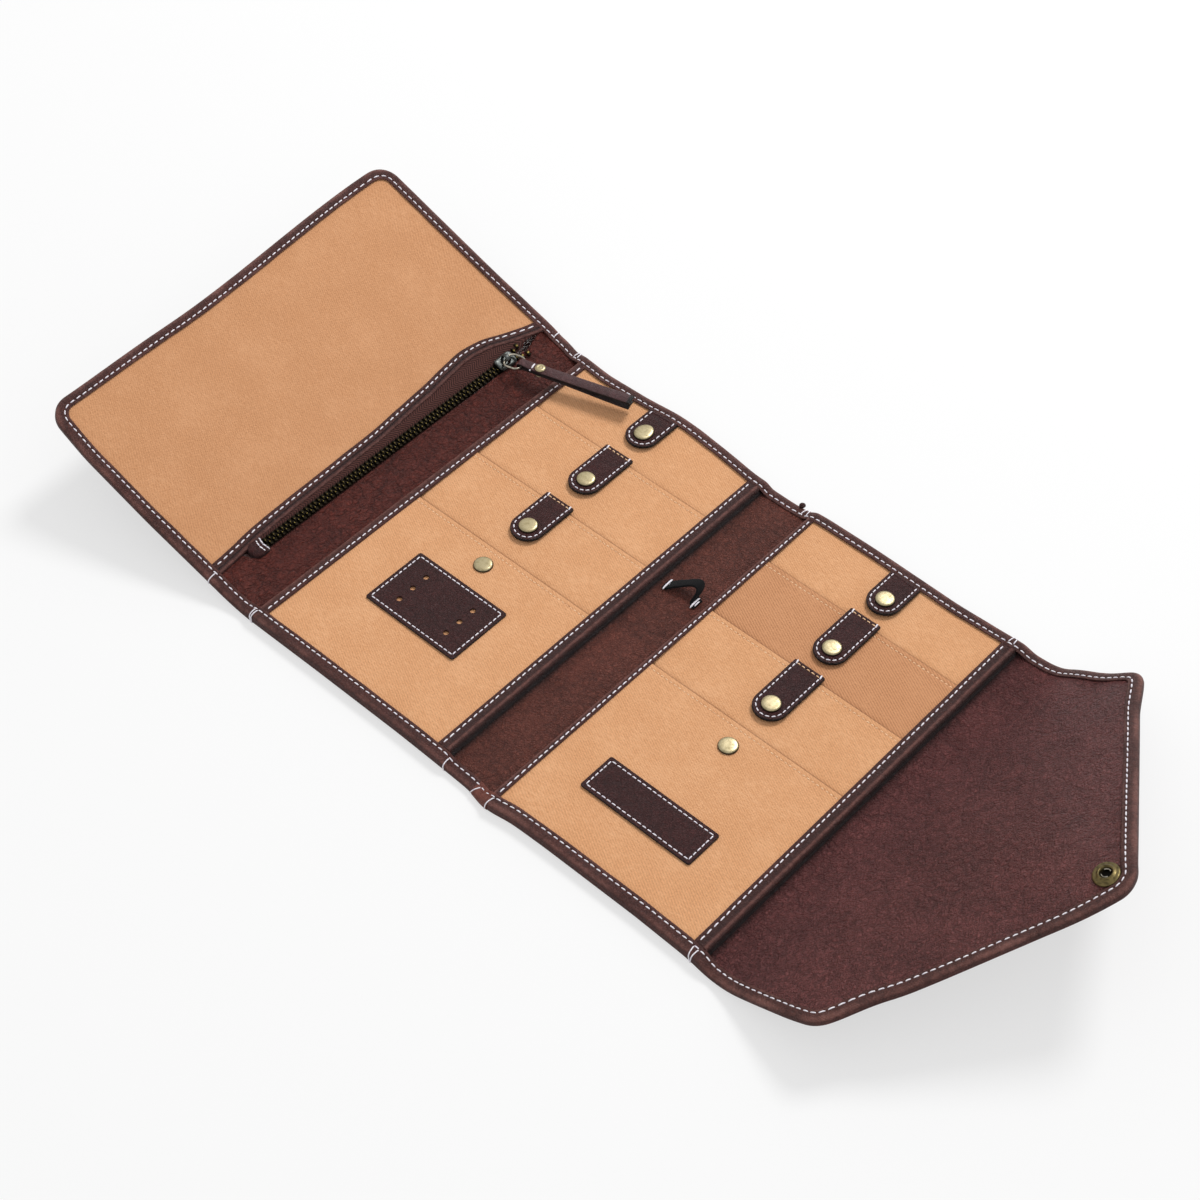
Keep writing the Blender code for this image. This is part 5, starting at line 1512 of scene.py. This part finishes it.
def makePull(settings):
    # one strap folded round the ring: a section with rounded edges carried from the upper end round
    # the eye and back along the lower layer; the two layers part a little towards the tip
    mapping = levelFrame(eyeOrigin, settings["yaw"])
    layerThick, eye = settings["layer"], settings["eye"]
    offset = settings["slit"] / 2 + layerThick / 2
    radius = eye + layerThick / 2
    tip = settings["length"]
    far = np.linspace(tip, radius * 2.6, 44)
    spread = offset + 0.3 * smooth((far - 24) / (tip - 24))
    hang = offset + 2.4 * smooth((far - 13) / (tip - 8))
    turn = np.radians(np.linspace(52, 308, 28))
    path = np.concatenate([np.stack([far, spread], -1), radius * np.stack([np.cos(turn), np.sin(turn)], -1),
                           np.stack([far[::-1] - 0.8, -hang[::-1]], -1)])
    path = softened(path, 4)
    way = wayAlong(path)
    angle = roundAngles(20)
    wide = blunt(np.cos(angle), 0.22)
    thin = layerThick / 2 * blunt(np.sin(angle), 0.5)
    half = settings["width"] / 2 * (0.80 + 0.20 * smooth(path[:, 0] / 14))
    rings = np.empty((len(path), 20, 3))
    rings[..., 0] = path[:, :1] + way[:, 1:] * thin
    rings[..., 1] = half[:, None] * wide
    rings[..., 2] = path[:, 1:] - way[:, :1] * thin + 0.5 * (1 - wide ** 2)
    paint = np.broadcast_to(smooth((abs(wide) - 0.93) / 0.07), rings.shape[:2]).copy()
    paint[:2], paint[-2:] = 1, 1
    paint[60:] = np.maximum(paint[60:], 0.75)
    piece = makePiece("pull_strap", [skin(mapping(rings), paint=paint)], "darkLeather", sharp=60)
    settle(piece, "dark_leather", ["pull_leather"], body="pull_leather")
    top = settings["slit"] / 2 + layerThick
    rows = []
    line = np.array([[6.9, -3.0, top + 0.45], [7.3, 3.0, top + 0.45]])
    rows.append(stitches(atLength(line, np.linspace(0, 6, 10)), 6.0, 4.4, 0.52, mapping=mapping, ends=0.35))
    line = np.array([[6.2, -3.6, top - 0.1], [7.2, -3.4, top + 0.02]])
    rows.append(stitches(atLength(line, np.linspace(0, 1.0, 4)), 1.0, 2.0, 0.5, mapping=mapping))
    settle(makePiece("pull_stitches", rows, "whiteThread"), "dark_leather", body="pull_leather")
    low = top + 0.5
    head = [(0.1, low + 0.72), (0.8, low + 0.75), (1.25, low + 0.62), (1.6, low + 0.78), (2.3, low + 0.72),
            (2.8, low + 0.5), (3.1, low + 0.15), (3.0, low), (1.2, low - 0.05)]
    profile = head + [(radius, -height) for radius, height in head[::-1]]
    rivet = turned((settings["rivetAt"], 0), profile, mapping)
    settle(makePiece("pull_rivet_heads", [rivet], "antiqueBrass", sharp=50), "antique_brass", ["pull_rivet"],
           body="pull_leather")


makeSlider(slider)
makeRing(pullLook)
makePull(pullLook)
print("slider and pull made")


# flap snap

flapSnap = {
    "back": 94.5,
    "socket": [(0.15, 1.55), (2.2, 1.6), (3.0, 1.75), (3.3, 2.9), (3.75, 3.2), (4.25, 3.1), (4.6, 2.6),
               (5.4, 2.45), (6.3, 2.4), (6.8, 2.15), (7.1, 1.7), (7.1, 1.25), (0.15, 1.2)],
    "cap": [(0.15, -3.7), (2.5, -3.68), (4.4, -3.5), (5.5, -3.15), (6.1, -2.7), (6.2, -2.4), (6.0, -2.0),
            (0.15, -2.0)],
}


def makeFlapSnap(settings):
    # a hollow socket with two sprung wires inside, and the cap behind it
    centre = (flapFold + settings["back"], 0.0)
    # painted shade on the floor and lowest wall of the socket's hollow
    hollow = [1.0, 1.0, 0.9, 0.2] + [0.0] * (len(settings["socket"]) - 4)
    socket = turned(centre, settings["socket"], count=44, paint=perRing(hollow, 44))
    settle(makePiece("flap_socket", [socket], "oldBrass", sharp=50),
           "antique_brass", ["flap_snap_socket"], body="flap")
    settle(makePiece("flap_cap", [turned(centre, settings["cap"], count=44)], "antiqueBrass", sharp=50),
           "antique_brass", ["flap_snap_cap"], body="flap")
    wires = []
    for start in (40, 220):
        angle = np.radians(np.linspace(start, start + 100, 16))
        around = roundAngles(8)
        rings = np.empty((16, 8, 3))
        radius = 2.35 + 0.28 * np.cos(around)
        rings[..., 0] = centre[0] + radius * np.cos(angle)[:, None]
        rings[..., 1] = centre[1] + radius * np.sin(angle)[:, None]
        rings[..., 2] = 2.35 + 0.28 * np.sin(around)
        wires.append(skin(onCase(rings)))
    settle(makePiece("flap_socket_springs", wires, "ringSteel"), "antique_brass", body="flap")


makeFlapSnap(flapSnap)
print("flap snap made")


# the studs under the tabs and on the outer face stay as the CAD has them, in brass

keptStuds = [f"{panel}_tab_{number}_stud" for panel in ("panel_a", "panel_b") for number in (1, 2, 3)]
for node in keptStuds + ["panel_a_closure_stud"]:
    data = frame["nodes"][node].data
    data.materials.clear()
    data.materials.append(finishes["antiqueBrass"])


# studio

studio = {"floor": (0.9, 0.9, 0.9, 1.0), "world": 0.56, "size": 6.0, "level": -0.0004, "glow": 0.6}


def makeStudio(settings):
    # white paper that glows a little to the camera, under an even white sky
    half, level = settings["size"] / 2, settings["level"]
    mesh = bpy.data.meshes.new("floor")
    mesh.from_pydata([(-half, -half, level), (half, -half, level), (half, half, level), (-half, half, level)],
                     [], [(0, 1, 2, 3)])
    floor = bpy.data.objects.new("floor", mesh)
    bpy.context.scene.collection.objects.link(floor)
    finish = Finish("floorPaper", Roughness=0.9, Base_Color=settings["floor"], Specular_IOR_Level=0.0)
    glow = finish.add("ShaderNodeEmission", None, {"Color": (1, 1, 1, 1), "Strength": 1.0}, out="Emission")
    seen = finish.add("ShaderNodeLightPath", out="Is Camera Ray")
    mixed = finish.add("ShaderNodeMixShader", None, {0: seen * settings["glow"], 2: glow})
    finish.tree.links.new(finish.shader.outputs[0], mixed.socket.node.inputs[1])
    finish.tree.links.new(mixed.socket, finish.tree.nodes["Material Output"].inputs["Surface"])
    mesh.materials.append(finish.material)
    scene = bpy.context.scene
    world = bpy.data.worlds.new("studio")
    scene.world = world
    world.use_nodes = True
    nodes, links = world.node_tree.nodes, world.node_tree.links
    background = nodes["Background"]
    background.inputs["Color"].default_value = (1, 1, 1, 1)
    path = nodes.new("ShaderNodeLightPath")
    seen = path.outputs["Is Camera Ray"]
    for ray in ("Is Glossy Ray", "Is Transmission Ray"):
        either = nodes.new("ShaderNodeMath")
        either.operation = "MAXIMUM"
        links.new(seen, either.inputs[0])
        links.new(path.outputs[ray], either.inputs[1])
        seen = either.outputs[0]
    strength = nodes.new("ShaderNodeMapRange")
    strength.inputs["To Min"].default_value = settings["world"]
    strength.inputs["To Max"].default_value = 1.0
    links.new(seen, strength.inputs["Value"])
    links.new(strength.outputs[0], background.inputs["Strength"])
    scene.view_settings.view_transform = "Standard"


lamps = {
    "key": {"place": (-0.3, 1.9, 2.4), "target": (0.05, 0, 0), "size": 1.0, "power": 56.0},
    "fill": {"place": (0.9, -0.9, 1.6), "target": (0, 0, 0), "size": 1.4, "power": 2.0},
}


def makeLamps(settings):
    # round soft lamps turned to their targets
    for name, values in settings.items():
        data = bpy.data.lights.new(name, "AREA")
        data.shape = "DISK"
        data.size = values["size"]
        data.energy = values["power"]
        lamp = bpy.data.objects.new(name, data)
        bpy.context.scene.collection.objects.link(lamp)
        lamp.location = values["place"]
        lamp.rotation_mode = "QUATERNION"
        aim = Vector(values["target"]) - Vector(values["place"])
        lamp.rotation_quaternion = aim.to_track_quat("-Z", "Y")


makeStudio(studio)
makeLamps(lamps)
print("studio made")
